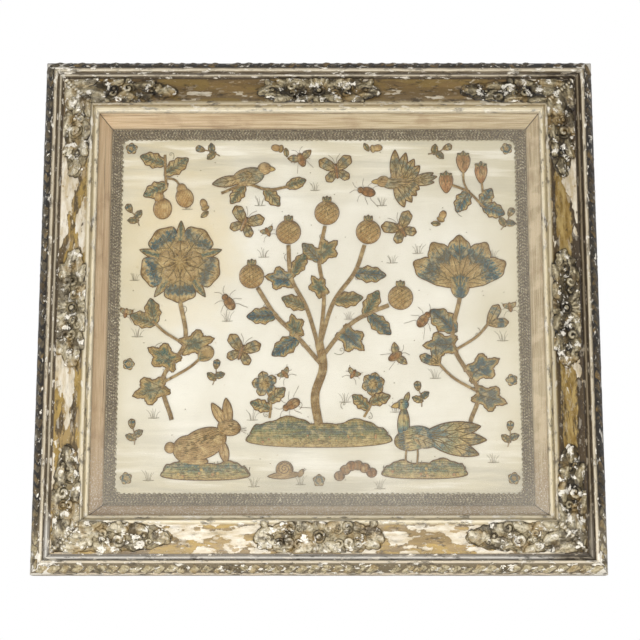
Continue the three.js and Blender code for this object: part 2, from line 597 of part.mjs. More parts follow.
const GRUB_JOINTS = 6;
const GRUB_PITCH = 6.4;
const GRUB_BEND = 9;
addMotif('grub', Array.from({ length: GRUB_JOINTS }, (_, i) => pad({
  x: GRUB_PITCH * (i - (GRUB_JOINTS - 1) / 2), y: GRUB_BEND * Math.sin(Math.PI * i / (GRUB_JOINTS - 1)),
  long: 10.5, wide: 9.5, rise: 4.2, steps: SMALL_PAD_STEPS,
})), { x: 36, y: -162, turn: 6 }, finish.brownSilk);
addMotif('snail', pads([
  ['round', 0, 3, 17, 16, 0, 5.6], ['leaf', -15, -4, 34, 7, 4, 3.2], ['leaf', 15, -3, 9, 5, 60, 2.6],
]), { x: -34, y: -160 }, finish.goldSilk);

// Stood up: the flat back on the wall's plane, the origin at the top rail's hanging point
picture.rotation.x = Math.PI / 2;
picture.position.z = HANGING_POINT - FRAME_HEIGHT / 2;

export default picture;
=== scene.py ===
import math
import random

import bpy
import numpy as np
from mathutils import Matrix, Vector


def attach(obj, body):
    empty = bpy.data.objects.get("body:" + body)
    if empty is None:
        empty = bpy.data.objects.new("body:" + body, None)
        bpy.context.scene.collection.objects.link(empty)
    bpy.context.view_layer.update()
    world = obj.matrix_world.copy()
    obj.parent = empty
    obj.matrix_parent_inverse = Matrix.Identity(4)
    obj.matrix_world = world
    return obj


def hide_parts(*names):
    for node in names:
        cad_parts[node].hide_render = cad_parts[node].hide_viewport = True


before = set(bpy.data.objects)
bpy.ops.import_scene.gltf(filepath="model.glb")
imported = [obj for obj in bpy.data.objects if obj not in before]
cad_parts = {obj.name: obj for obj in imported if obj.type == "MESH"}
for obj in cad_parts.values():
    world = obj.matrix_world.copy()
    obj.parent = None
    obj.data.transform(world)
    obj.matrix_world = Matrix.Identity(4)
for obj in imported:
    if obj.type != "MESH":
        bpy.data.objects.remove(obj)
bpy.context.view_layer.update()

# Sizes in millimetres, drawn facing the viewer: x right, y up, z up from the flat back
WIDTH = 560.0
HEIGHT = 521.0
PICTURE_MIDDLE = -235.5
WORK_BASE = 7.9
SATIN_FRONT = 7.6
SATIN_THICKNESS = 1.6
SATIN_SIZE = (458.8, 419.8)
BRAID_OUTER = 68.4
BRAID_WIDTH = 10.6
MITRE_TRIM = 0.21

SIDES = [
    {"name": "bottom", "turn": 0, "length": WIDTH, "reach": HEIGHT / 2, "arm": 140, "cartouche": 124},
    {"name": "right", "turn": 90, "length": HEIGHT, "reach": WIDTH / 2, "arm": 127, "cartouche": 116},
    {"name": "top", "turn": 180, "length": WIDTH, "reach": HEIGHT / 2, "arm": 138, "cartouche": 121},
    {"name": "left", "turn": -90, "length": HEIGHT, "reach": WIDTH / 2, "arm": 127, "cartouche": 115},
]

# Section of a rail: distance in from the outer edge, height above the flat back
RAIL_SECTION = [
    (0, 0), (0, 8), (0, 15.5), (0.25, 18), (0.8, 20.2), (1.8, 23.0), (3.2, 25.7), (4.9, 28.2), (6.8, 30.2),
    (8.6, 31.8), (10.2, 32.8), (11.6, 32.4), (12.4, 32.3), (13.3, 31.5), (13.6, 29.5), (14.0, 27.6), (14.9, 26.9),
    (15.3, 27.9), (16.3, 28.6), (17.2, 28.0), (17.7, 26.4), (18.6, 25.5), (20.0, 25.8), (22.5, 26.1), (25.0, 26.6),
    (30.0, 28.4), (35.0, 31.0), (40.0, 34.2), (45.0, 37.2), (48.0, 38.6), (50.6, 39.7), (51.5, 39.4), (51.9, 38.6),
    (52.6, 36.2), (53.4, 33.0), (54.0, 32.2), (55.2, 32.7), (56.4, 31.6), (56.9, 30.4), (56.9, 27.5), (50.3, 27.5),
    (50.3, 14), (50.3, 0),
]
BAND = [(20.0, 25.8), (25.0, 26.6), (30.0, 28.4), (35.0, 31.0), (40.0, 34.2), (45.0, 37.2), (50.6, 39.7)]
BAND_EDGES = (20.6, 50.2)
ORNAMENT_SPAN = (20.8, 49.9)
PLATE_LIFT = 2.2
RAIL_RING = 4


# Moving and joining pieces

def let_go():
    if bpy.context.object and bpy.context.object.mode != "OBJECT":
        bpy.ops.object.mode_set(mode="OBJECT")
    bpy.ops.object.select_all(action="DESELECT")


def take(piece):
    let_go()
    piece.select_set(True)
    bpy.context.view_layer.objects.active = piece
    return piece


def named(name):
    piece = bpy.context.object
    piece.name = name
    piece.data.name = name
    return piece


def settle(piece, matrix=Matrix.Identity(4)):
    """Puts the place, turn and size of a piece into its mesh."""
    take(piece)
    piece.matrix_world = matrix @ piece.matrix_world
    bpy.ops.object.transform_apply(location=True, rotation=True, scale=True)
    return piece


def joined(pieces, name):
    let_go()
    for piece in pieces:
        piece.select_set(True)
    bpy.context.view_layer.objects.active = pieces[0]
    if len(pieces) > 1:
        bpy.ops.object.join()
    return named(name)


def finished(piece, kind, **settings):
    """Adds a modifier and applies it."""
    take(piece)
    modifier = piece.modifiers.new(kind.lower(), kind)
    for key, value in settings.items():
        setattr(modifier, key, value)
    bpy.ops.object.modifier_apply(modifier=modifier.name)
    return piece


def copied(piece, matrix=Matrix.Identity(4)):
    twin = piece.copy()
    twin.data = piece.data.copy()
    bpy.context.scene.collection.objects.link(twin)
    twin.matrix_world = matrix @ piece.matrix_world
    return twin


HANG = (Matrix.Scale(0.001, 4) @ Matrix.Translation((0, 0, PICTURE_MIDDLE)) @ Matrix.Rotation(math.pi / 2, 4, "X"))


def hang(piece, slot, *nodes):
    """Stands a finished piece up in the picture's place and seats it on the frame's body."""
    settle(piece, HANG)
    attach(piece, "root")
    if nodes:
        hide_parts(*nodes)
    return piece


def side_matrix(side, end=1):
    turned = Matrix.Rotation(math.radians(side["turn"]), 4, "Z")
    return turned @ Matrix.Translation((0, -side["reach"], 0)) @ Matrix.Diagonal((end, 1, 1, 1))


def points_of(piece):
    places = np.zeros(len(piece.data.vertices) * 3)
    piece.data.vertices.foreach_get("co", places)
    return places.reshape(-1, 3)


def set_points(piece, places):
    piece.data.vertices.foreach_set("co", np.ascontiguousarray(places, dtype=np.float32).ravel())
    piece.data.update()


def cut_along(piece, axis, cuts):
    """Cuts a run, whose length is 1 along an axis, into rings."""
    take(piece)
    bpy.ops.object.mode_set(mode="EDIT")
    bpy.ops.mesh.select_mode(type="EDGE")
    bpy.ops.mesh.select_all(action="DESELECT")
    bpy.ops.object.mode_set(mode="OBJECT")
    for edge in piece.data.edges:
        start, end = (piece.data.vertices[i].co for i in edge.vertices)
        edge.select = abs(start[axis] - end[axis]) > 0.5
    bpy.ops.object.mode_set(mode="EDIT")
    bpy.ops.mesh.subdivide(number_cuts=cuts)
    bpy.ops.object.mode_set(mode="OBJECT")


def face_outwards(piece):
    take(piece)
    bpy.ops.object.mode_set(mode="EDIT")
    bpy.ops.mesh.select_all(action="SELECT")
    bpy.ops.mesh.normals_make_consistent(inside=False)
    bpy.ops.object.mode_set(mode="OBJECT")
    return piece


def smooth(piece, angle=40):
    take(piece)
    bpy.ops.object.shade_smooth_by_angle(angle=math.radians(angle))
    return piece


def worn(piece, depth, size, seed=0):
    """Knocks a surface slightly out of true."""
    cloud = bpy.data.textures.new(f"wear_{piece.name}_{seed}", "CLOUDS")
    cloud.noise_scale = size
    cloud.noise_depth = 2
    return finished(piece, "DISPLACE", texture=cloud, texture_coords="LOCAL", strength=depth, mid_level=0.5)


# Finishes

def tone(code):
    """A colour as it looks to the eye, in six hex digits, as the light of its three parts."""
    parts = [int(code[i:i + 2], 16) / 255 for i in (0, 2, 4)]
    return tuple(p / 12.92 if p <= 0.04045 else ((p + 0.055) / 1.055) ** 2.4 for p in parts) + (1.0,)


def put(tree, kind, inputs=None, out=0, **settings):
    node = tree.nodes.new(kind)
    for key, value in settings.items():
        setattr(node, key, value)
    for key, value in (inputs or {}).items():
        if isinstance(value, Reading):
            tree.links.new(value.socket, node.inputs[key])
        else:
            node.inputs[key].default_value = value
    return Reading(tree, node.outputs[out])


class Reading:
    """A number or colour that a finish works out at each place."""

    def __init__(self, tree, socket):
        self.tree = tree
        self.socket = socket

    def __add__(self, other):
        return sums(self.tree, "ADD", self, other)

    def __radd__(self, other):
        return sums(self.tree, "ADD", other, self)

    def __sub__(self, other):
        return sums(self.tree, "SUBTRACT", self, other)

    def __rsub__(self, other):
        return sums(self.tree, "SUBTRACT", other, self)

    def __mul__(self, other):
        return sums(self.tree, "MULTIPLY", self, other)

    def __truediv__(self, other):
        return sums(self.tree, "DIVIDE", self, other)

    def __abs__(self):
        return sums(self.tree, "ABSOLUTE", self)


def parts_of(tree, vector):
    node = tree.nodes.new("ShaderNodeSeparateXYZ")
    tree.links.new(vector.socket, node.inputs[0])
    return [Reading(tree, output) for output in node.outputs]


def sums(tree, operation, *values):
    return put(tree, "ShaderNodeMath", dict(enumerate(values)), operation=operation)


def stops(tree, factor, rows):
    """A run of colours or of values. Rows are (share, colour code or value)."""
    node = tree.nodes.new("ShaderNodeValToRGB")
    elements = node.color_ramp.elements
    while len(elements) < len(rows):
        elements.new(0.5)
    for index, (share, _) in enumerate(rows):
        elements[index].position = share
    for element, (share, code) in zip(elements, rows):
        element.position = share
        element.color = tone(code) if isinstance(code, str) else (code, code, code, 1)
    tree.links.new(factor.socket, node.inputs[0])
    return Reading(tree, node.outputs[0])


def over(tree, factor, under, top, way="MIX"):
    node = tree.nodes.new("ShaderNodeMix")
    node.data_type = "RGBA"
    node.blend_type = way
    for index, value in ((0, factor), (6, under), (7, top)):
        if isinstance(value, Reading):
            tree.links.new(value.socket, node.inputs[index])
        else:
            node.inputs[index].default_value = tone(value) if isinstance(value, str) else value
    return Reading(tree, node.outputs[2])


def spots(tree, at, size, detail=3.0, rough=0.55, stretch=(1, 1, 1), shift=(0, 0, 0)):
    """Soft uneven patches about size millimetres across."""
    mapped = put(tree, "ShaderNodeMapping", {"Vector": at, "Scale": stretch, "Location": shift})
    return put(tree, "ShaderNodeTexNoise", {
        "Vector": mapped, "Scale": 1000 / size, "Detail": detail, "Roughness": rough}, out="Fac")


def between(tree, value, low, high, start=0.0, end=1.0):
    return put(tree, "ShaderNodeMapRange", {
        "Value": value, "From Min": low, "From Max": high, "To Min": start, "To Max": end})


def new_finish(name, roughness=0.6, metallic=0.0, **sockets):
    material = bpy.data.materials.new(name)
    material.use_nodes = True
    shader = material.node_tree.nodes["Principled BSDF"]
    shader.inputs["Roughness"].default_value = roughness
    shader.inputs["Metallic"].default_value = metallic
    for key, value in sockets.items():
        shader.inputs[key.replace("_", " ")].default_value = value
    return material, material.node_tree, shader


def lit(tree, shader, colour, height=None, strength=0.5, depth=0.0004, rough=None):
    tree.links.new(colour.socket, shader.inputs["Base Color"])
    if height is not None:
        bumped = put(tree, "ShaderNodeBump", {"Height": height, "Strength": strength, "Distance": depth})
        tree.links.new(bumped.socket, shader.inputs["Normal"])
    if rough is not None:
        tree.links.new(rough.socket, shader.inputs["Roughness"])


def from_edge(tree, at):
    """Distance in from the frame's outer edge, in millimetres, with the two signed places it comes from."""
    x, _, z = parts_of(tree, at)
    across = x * 1000.0
    upward = (z - PICTURE_MIDDLE / 1000) * 1000.0
    from_side = WIDTH / 2 - abs(across)
    from_end = HEIGHT / 2 - abs(upward)
    return (sums(tree, "MINIMUM", from_side, from_end), across, upward)


def from_mitre(across, upward):
    return abs(abs(across) - abs(upward) - (WIDTH - HEIGHT) / 2)


def belt(tree, value, begun, full, fading, gone):
    """A strip that comes in between the first two values and goes out between the last two."""
    return between(tree, value, begun, full) * between(tree, value, gone, fading)


def depth_of(tree, at):
    """Height above the flat back, in millimetres."""
    return parts_of(tree, at)[1] * -1000.0


def rail_space(tree, at):
    """A place on a rail as its run, its distance in and its height above the back, in millimetres."""
    inward, across, upward = from_edge(tree, at)
    from_side = WIDTH / 2 - abs(across)
    upright = sums(tree, "LESS_THAN", from_side, inward + 0.001)
    run = upright * (upward + 700.0) + (1.0 - upright) * across
    return put(tree, "ShaderNodeCombineXYZ", {"X": run, "Y": inward, "Z": depth_of(tree, at)})


def streaks(tree, space, size, drawn=3.0, detail=4.0, rough=0.6, shift=0.0):
    """Patches about size millimetres across, drawn out along the rail."""
    mapped = put(tree, "ShaderNodeMapping", {
        "Vector": space, "Scale": (1 / drawn, 1, 1), "Location": (shift, shift, shift)})
    return put(tree, "ShaderNodeTexNoise", {
        "Vector": mapped, "Scale": 1 / size, "Detail": detail, "Roughness": rough}, out="Fac")


# Colours across a rail's section from the outer edge in: the finish, with painted shade in the grooves beside the
# fillet and the bead and painted highlights on their crests
PROFILE_TONE_AND_SHADE_STOPS = [
    (0.0, "4a3f31"), (2.0, "3a3126"), (5.0, "332b20"), (8.6, "3f3629"), (10.4, "6f6450"), (11.4, "aa9d84"),
    (12.6, "cdc2aa"), (13.3, "9a8c73"), (13.9, "5d503f"), (14.7, "4f4435"), (15.2, "958972"), (16.2, "c2b7a0"),
    (17.2, "a3977f"), (17.9, "5a4d3b"), (19.4, "4b3f2f"), (20.8, "86704a"), (27.0, "a08656"), (36.0, "a38a5b"),
    (44.0, "a8916a"), (46.5, "8f7d5f"), (48.4, "c2b492"), (50.0, "dbd0b6"), (51.4, "c9bc9e"), (51.9, "a29272"),
    (53.2, "b5a683"), (54.0, "d9ceb2"), (55.6, "dfd5bc"), (56.6, "b5a78a"),
]
RAMP_REACH = 60.0
# Where each rail's own wear and painted light come in, across or upward from the middle of the picture
LOW_RAIL = (-195.0, -220.0)
HIGH_RAIL = (190.0, 215.0)
SIDE_RAIL = (215.0, 235.0)


def gilding():
    """Gold on gesso on wood, all worn: pale at the bottom and left, from more gesso and from painted light, dark at the
    top and right, from less gesso and from painted shade.
    """
    material, tree, shader = new_finish("worn_gilding", 0.42, Specular_IOR_Level=0.5)
    at = put(tree, "ShaderNodeTexCoord", out="Object")
    inward, across, upward = from_edge(tree, at)
    space = rail_space(tree, at)
    ragged = streaks(tree, space, 6, 3.0, 5)
    shifted = inward + between(tree, ragged, 0.3, 0.7, -0.4, 0.4)
    colour = stops(tree, shifted / RAMP_REACH, [(u / RAMP_REACH, c) for u, c in PROFILE_TONE_AND_SHADE_STOPS])
    band = stops(tree, inward / RAMP_REACH, [
        (0.0, 0.0), (19.6 / RAMP_REACH, 0.0), (20.6 / RAMP_REACH, 1.0), (46.5 / RAMP_REACH, 1.0),
        (48.6 / RAMP_REACH, 0.0), (1.0, 0.0)])
    low = between(tree, upward, *LOW_RAIL)
    high = between(tree, upward, *HIGH_RAIL)
    left = between(tree, across, -SIDE_RAIL[0], -SIDE_RAIL[1])
    right = between(tree, across, *SIDE_RAIL)

    # The outer edge, the fillet and the bead, painted paler at the bottom as if lit from below
    colour = over(tree, low * between(tree, inward, 11.0, 10.0, 0, 0.8), colour, "75674d")
    lip = belt(tree, inward, 10.4, 11.2, 12.6, 13.2)
    colour = over(tree, low * lip * 0.7, colour, "ddd0b8")
    hem = low * between(tree, inward, 2.2, 1.4)
    colour = over(tree, hem * between(tree, ragged, 0.42, 0.5), colour, "d8c6ab")
    bead = belt(tree, inward, 13.6, 14.0, 19.0, 19.6)
    # Painted shade at the sides of the bottom bead and a painted highlight along its crest
    bead_shade_and_highlight = stops(tree, between(tree, inward, 13.6, 19.6), [
        (0.0, "5a5147"), (0.14, "918b81"), (0.30, "c9c6be"), (0.55, "dedbd4"), (0.75, "aea99e"), (0.95, "61574a")])
    colour = over(tree, low * bead * 0.85, colour, bead_shade_and_highlight)

    # The panels: bare wood, gold, a gold strip on the right, and gesso over them
    wood = between(tree, streaks(tree, space, 15, 4.0, 5, 0.58, 31.0), 0.47, 0.52)
    wood = wood * between(tree, low + high, 0, 1, 0.9, 0.35)
    colour = over(tree, wood * band, colour, "4f4029")
    gold = between(tree, streaks(tree, space, 17, 2.6, 5, 0.55, 57.0), 0.50, 0.54)
    gilt_tone = over(tree, between(tree, ragged, 0.3, 0.7), "8d7338", "bd9e58")
    gilt_tone = over(tree, high * 0.6, gilt_tone, "94824f")
    colour = over(tree, gold * band * 0.8, colour, gilt_tone)
    wander = inward + between(tree, ragged, 0.3, 0.7, -2.5, 2.5)
    strip = belt(tree, wander, 27.0, 28.0, 42.0, 43.0)
    brown_side = right * band * (1.0 - strip)
    colour = over(tree, brown_side * 0.92, colour, "423219")
    rubbed = between(tree, streaks(tree, space, 5, 3.0, 5, 0.6, 19.0), 0.4, 0.6)
    colour = over(tree, right * strip * 0.8, colour, over(tree, rubbed, "94762f", "cdb475"))
    amount = low * 0.075 + left * 0.045 - right * 0.055 - high * 0.006
    gesso = streaks(tree, space, 20, 2.0, 7, 0.54, 83.0) + amount
    gesso = between(tree, gesso, 0.552, 0.56) * band
    colour = over(tree, gesso, colour, over(tree, between(tree, ragged, 0.35, 0.65), "bfad8b", "e4dccb"))
    rim = between(tree, streaks(tree, space, 10, 2.0, 6, 0.6, 21.0), 0.60, 0.61)
    colour = over(tree, rim * gesso * 0.8, colour, "a08452")

    # Chips, most of all at the outer corners, then grime and specks
    corner_nick = between(tree, inward + from_mitre(across, upward), 34.0, 12.0, 0.0, 0.12)
    chipped = streaks(tree, space, 5, 2.5, 7, 0.66, 13.0) + corner_nick
    chipped = chipped + between(tree, inward, 11.0, 9.5, 0.0, 0.008)
    chipped = between(tree, chipped, 0.585, 0.592) * between(tree, band, 0, 1, 1.0, 0.35)
    colour = over(tree, chipped * 0.92, colour, "e6dfd0")
    grime = between(tree, streaks(tree, space, 6, 2.5, 8, 0.72, 41.0), 0.55, 0.62)
    colour = over(tree, grime * between(tree, gesso, 0, 1, 0.75, 0.3), colour, "352a1e")
    speck = between(tree, streaks(tree, space, 1.6, 1.5, 4, 0.7, 5.0), 0.62, 0.70)
    colour = over(tree, speck * 0.5, colour, "e8e0cd")

    # Painted shade, darker at the top and right, but not on the sight, which is paler at the top; and a darker bead on
    # the right
    shade = sums(tree, "MAXIMUM", high * 0.75, right * 0.5) * between(tree, inward, 18.0, 20.0)
    shade = shade * between(tree, gesso, 0, 1, 1.0, 0.4)
    shade = shade * between(tree, inward, 53.0, 52.0, 0.0, 1.0)
    colour = over(tree, shade, colour, "b8ac94", "MULTIPLY")
    pale_sight = high * between(tree, inward, 52.4, 53.4, 0.0, 0.4)
    colour = over(tree, pale_sight, colour, "efe8d6")
    dark_bead = belt(tree, inward, 13.2, 13.8, 19.6, 20.4) * right * 0.75
    colour = over(tree, dark_bead, colour, "8d7f66", "MULTIPLY")

    # Bare wood on the sides and the back, and painted shade on the outer edge, except at the bottom
    depth = depth_of(tree, at)
    bare = between(tree, inward, 0.5, 0.3) * between(tree, depth, 17.0, 15.0)
    fibre = streaks(tree, space, 2.0, 30.0, 4)
    bare_tone = stops(tree, fibre, [(0.3, "4d3d2a"), (0.5, "6b563c"), (0.7, "83704f")])
    colour = over(tree, bare * between(tree, ragged, 0.35, 0.6, 0.9, 0.5), colour, bare_tone)
    # Painted shade on the outer edge, away from the bottom
    outer_edge_shade = between(tree, inward, 10.6, 9.6) * (1.0 - low)
    outer_edge_shade = outer_edge_shade * between(tree, depth, 15.0, 19.0)
    outer_edge_shade = outer_edge_shade * between(tree, chipped, 0, 1, 0.85, 0.1)
    colour = over(tree, outer_edge_shade, colour, "62573f", "MULTIPLY")
    behind = between(tree, depth, 1.2, 0.6)
    back_tone = stops(tree, fibre, [(0.3, "6a533a"), (0.5, "8b7152"), (0.7, "a58b67")])
    colour = over(tree, behind, colour, back_tone)
    height = streaks(tree, space, 2.2, 1.6, 6, 0.7) * 0.6 + gesso * -0.5 + chipped * -0.8
    lit(tree, shader, colour, height, 0.8, 0.0009, between(tree, ragged, 0.3, 0.7, 0.32, 0.55))
    return material


ORNAMENT_SHADED = [
    (0.0, "080604"), (0.24, "1c150b"), (0.45, "453a26"), (0.62, "7b6e50"), (0.8, "b5a888"), (1.0, "eee6d2")]
ORNAMENT_LIT = [
    (0.0, "1c140b"), (0.20, "43361f"), (0.42, "877959"), (0.62, "aea183"), (0.8, "d0c6ad"), (1.0, "f3ecdf")]
EDGE_SHADED = [
    (0.0, "080604"), (0.3, "16110b"), (0.6, "2b2318"), (0.85, "4c412e"), (1.0, "85775a")]
EDGE_LIT = [
    (0.0, "120c06"), (0.25, "33281a"), (0.5, "6d5e43"), (0.75, "a2936f"), (1.0, "d9cdb0")]


def moulded(name, shaded_rows, lit_rows, left_share, chip_from):
    """Moulded leaves and scrolls: painted shade in the hollows, painted highlight and rubbed, chipped pale on the high
    places.
    """
    material, tree, shader = new_finish(name, 0.42, Specular_IOR_Level=0.5)
    at = put(tree, "ShaderNodeTexCoord", out="Object")
    _, across, upward = from_edge(tree, at)
    lift = put(tree, "ShaderNodeAttribute", out="Fac", attribute_name="lift")
    jitter = between(tree, spots(tree, at, 3, 6, 0.7), 0.3, 0.7, -0.16, 0.16)
    # The lift attribute is painted shade and highlight: dark in the hollows and along rims, light on the high places
    painted_shade_level = lift + jitter
    dark = stops(tree, painted_shade_level, shaded_rows)
    light = stops(tree, painted_shade_level, lit_rows)
    low = between(tree, upward, -190.0, -225.0)
    left = between(tree, across, -215.0, -235.0)
    # Lit colours at the bottom and on the left, shaded ones elsewhere: painted light from below and the left, partly
    # also more wear there
    colour = over(tree, sums(tree, "MAXIMUM", low, left * left_share), dark, light)
    gold = between(tree, spots(tree, at, 16, 5, 0.6, shift=(2, 8, 1)), 0.50, 0.60)
    colour = over(tree, gold * 0.5, colour, "94763f")
    raised = between(tree, lift, 0.15, 0.4)
    swirl = spots(tree, put(tree, "ShaderNodeVectorMath", {
        0: at, 1: put(tree, "ShaderNodeVectorMath", {0: put(tree, "ShaderNodeTexNoise", {
            "Vector": at, "Scale": 90.0, "Detail": 1.0}, out="Color"), 1: (0.012, 0.012, 0.012)},
            operation="MULTIPLY")}, operation="ADD"), 6, 3, 0.55)
    # Furrows, bumped into the surface and darkened with painted shade
    furrow = between(tree, abs(swirl - 0.5), 0.016, 0.0)
    colour = over(tree, furrow * 0.7, colour, "17110a")
    soot = between(tree, spots(tree, at, 15, 4, 0.6, shift=(4, 4, 1)), 0.50, 0.60)
    colour = over(tree, soot * 0.8, colour, "5f5440", "MULTIPLY")
    chipped = between(tree, spots(tree, at, 9, 6, 0.66, shift=(6, 3, 8)), chip_from, chip_from + 0.010)
    colour = over(tree, chipped * raised, colour, "ece5d6")
    height = spots(tree, at, 2.0, 6, 0.7) + chipped * -0.5 - furrow
    lit(tree, shader, colour, height, 0.8, 0.0008, between(tree, jitter, -0.16, 0.16, 0.3, 0.5))
    return material


def slip_wood(name, along):
    material, tree, shader = new_finish(name, 0.6, Specular_IOR_Level=0.25)
    at = put(tree, "ShaderNodeTexCoord", out="Object")
    inward, across, upward = from_edge(tree, at)
    stretch = (0.04, 1, 1) if along == "X" else (1, 1, 0.04)
    fibre = spots(tree, at, 1.6, 4, 0.6, stretch)
    streak = spots(tree, at, 7, 4, 0.6, stretch)
    colour = stops(tree, fibre, [(0.22, "7d6848"), (0.42, "b39f7e"), (0.56, "c5b595"), (0.8, "d6c8ab")])
    colour = over(tree, between(tree, streak, 0.52, 0.62) * 0.5, colour, "96805f")
    # Painted highlights of wrinkles, in streaks across the right slip
    wrinkle_highlight = spots(tree, at, 22, 3, 0.5, (0.35, 1, 1.6), (9, 1, 4))
    wrinkle_highlight = between(tree, wrinkle_highlight, 0.48, 0.62) * between(tree, across, 150.0, 215.0)
    colour = over(tree, wrinkle_highlight * 0.5, colour, "e2d0b0")
    pink = between(tree, across, 60.0, -205.0)
    colour = over(tree, pink * 0.3, colour, "e0b892")
    stained = between(tree, spots(tree, at, 38, 5, 0.62, shift=(2, 2, 6)), 0.54, 0.64)
    colour = over(tree, stained * 0.35, colour, "94765a")
    # Painted shade on the bottom slip, which faces up, away from the light below; pale dust there too
    low = between(tree, upward, -120.0, -192.0)
    colour = over(tree, low * 0.45, colour, "a0876a")
    dust = between(tree, spots(tree, at, 1.8, 4, 0.7), 0.55, 0.60)
    colour = over(tree, low * dust * 0.8, colour, "efeadf")
    knot = put(tree, "ShaderNodeTexVoronoi", {"Vector": at, "Scale": 12.0}, out="Distance")
    colour = over(tree, between(tree, knot, 0.10, 0.03, 0.0, 0.5), colour, "84694a")
    colour = over(tree, between(tree, knot, 0.04, 0.025), colour, "3f2e20")
    split = spots(tree, at, 2.4, 2, 0.5, (0.02, 1, 1) if along == "X" else (1, 1, 0.02), (5, 5, 5))
    colour = over(tree, between(tree, split, 0.66, 0.70, 0.0, 0.7), colour, "6a543a")
    colour = over(tree, between(tree, from_mitre(across, upward), 0.9, 0.3, 0.0, 0.85), colour, "3c2c1d")
    # Painted shade at the slip's foot, beside the braid
    foot_shade = between(tree, inward, 66.4, 68.0)
    colour = over(tree, foot_shade * 0.5, colour, "4f4334")
    lit(tree, shader, colour, fibre, 0.35, 0.0003)
    return material


def board_wood():
    material, tree, shader = new_finish("backboard_wood", 0.8, Specular_IOR_Level=0.2)
    at = put(tree, "ShaderNodeTexCoord", out="Object")
    fibre = spots(tree, at, 3, 5, 0.6, (1, 1, 0.03))
    rings = spots(tree, at, 20, 3, 0.5, (1, 1, 0.08))
    colour = stops(tree, fibre, [(0.25, "5a4330"), (0.5, "7d6046"), (0.75, "94765a")])
    colour = over(tree, between(tree, rings, 0.5, 0.6, 0, 0.4), colour, "4f3a29")
    lit(tree, shader, colour, fibre, 0.4, 0.0004)
    return material


def satin_silk():
    material, tree, shader = new_finish("ivory_satin", 0.42, Sheen_Weight=0.25, Sheen_Roughness=0.4,
                                        Specular_IOR_Level=0.35)
    at = put(tree, "ShaderNodeTexCoord", out="Object")
    inward, across, upward = from_edge(tree, at)
    weft = spots(tree, at, 0.7, 2, 0.5, (0.05, 1, 1))
    cloud = spots(tree, at, 90, 4, 0.55)
    colour = stops(tree, cloud, [(0.3, "cfc9b7"), (0.5, "d9d4c4"), (0.7, "e1ddcf")])
    blot = put(tree, "ShaderNodeVectorMath", {
        0: put(tree, "ShaderNodeMapping", {"Vector": at, "Scale": (1.4, 1, 1), "Location": (0.21, 0, 0.15)})},
        out="Value", operation="LENGTH")
    stain = between(tree, blot + between(tree, spots(tree, at, 40, 4), 0.3, 0.7, -0.03, 0.03), 0.12, 0.02)
    colour = over(tree, stain * 0.6, colour, "d3bd88")
    edge = between(tree, inward + between(tree, cloud, 0.3, 0.7, -20.0, 20.0), 150.0, 75.0)
    colour = over(tree, edge * 0.58, colour, "c0b48f")
    corner_right = between(tree, across, 60.0, 190.0) * between(tree, upward, 60.0, 170.0)
    colour = over(tree, corner_right * 0.5, colour, "b0a88a")
    foxing = between(tree, spots(tree, at, 5, 3, 0.6, shift=(7, 3, 1)), 0.70, 0.76)
    colour = over(tree, foxing * 0.4, colour, "a58a5c")
    colour = over(tree, between(tree, weft, 0.35, 0.65, 0.0, 0.16), colour, "cbc3ad")
    # Creases near the ends, bumped, with painted shade and painted highlights along them
    crease = spots(tree, at, 16, 4, 0.55, (0.10, 1, 1), (3, 3, 3))
    near_end = between(tree, abs(upward), 95.0, 170.0)
    crease_shade = near_end * between(tree, crease, 0.5, 0.6, 0.0, 0.6)
    colour = over(tree, crease_shade, colour, "b3ad9a")
    crease_highlight = near_end * between(tree, crease, 0.46, 0.38, 0.0, 0.5)
    colour = over(tree, crease_highlight, colour, "eeeade")
    height = crease * near_end * 3.0 + weft * 0.12 + spots(tree, at, 30, 3) * 1.2
    lit(tree, shader, colour, height, 0.5, 0.0012)
    return material


def galloon_thread():
    material, tree, shader = new_finish("galloon_thread", 0.38, 0.55, Specular_IOR_Level=0.5)
    at = put(tree, "ShaderNodeTexCoord", out="Object")
    tarnish = spots(tree, at, 8, 4, 0.6)
    colour = stops(tree, tarnish, [(0.3, "776b54"), (0.5, "978c72"), (0.7, "b5ab92")])
    glint_spots = spots(tree, at, 1.1, 2, 0.6)
    # Painted glints of light on the metal thread
    colour = over(tree, between(tree, glint_spots, 0.56, 0.66, 0, 0.5), colour, "ece5d2")
    lit(tree, shader, colour, glint_spots, 0.5, 0.0003)
    return material


def galloon_ground():
    material, tree, shader = new_finish("galloon_ground", 0.6, 0.2)
    at = put(tree, "ShaderNodeTexCoord", out="Object")
    colour = stops(tree, spots(tree, at, 1.6, 4, 0.6), [(0.35, "52483a"), (0.55, "6c614e"), (0.7, "877c67")])
    lit(tree, shader, colour, spots(tree, at, 0.8, 2), 0.5, 0.0003)
    return material


def pane_glass():
    """Clear glass with a thin pale film towards the bottom and the right: painted glare and dust."""
    material, tree, shader = new_finish("pane_glass", 0.12, Specular_IOR_Level=0.5)
    at = put(tree, "ShaderNodeTexCoord", out="Object")
    _, across, upward = from_edge(tree, at)
    low = between(tree, upward + between(tree, spots(tree, at, 160, 2), 0.3, 0.7, -30.0, 30.0), -130.0, -205.0, 0.0,
                  0.08)
    right = between(tree, across, 120.0, 220.0, 0.0, 0.03)
    # The film is a painted reflection of glare, and dust
    glare_and_dust_film = low + right + 0.015
    tree.links.new(glare_and_dust_film.socket, shader.inputs["Alpha"])
    lit(tree, shader, stops(tree, spots(tree, at, 60, 3), [(0.3, "d8d2c4"), (0.7, "e6e2d6")]))
    return material


# Silks. Each padded shape carries a map of its lie, from base to tip and from edge to edge, and one in
# millimetres for its stitches

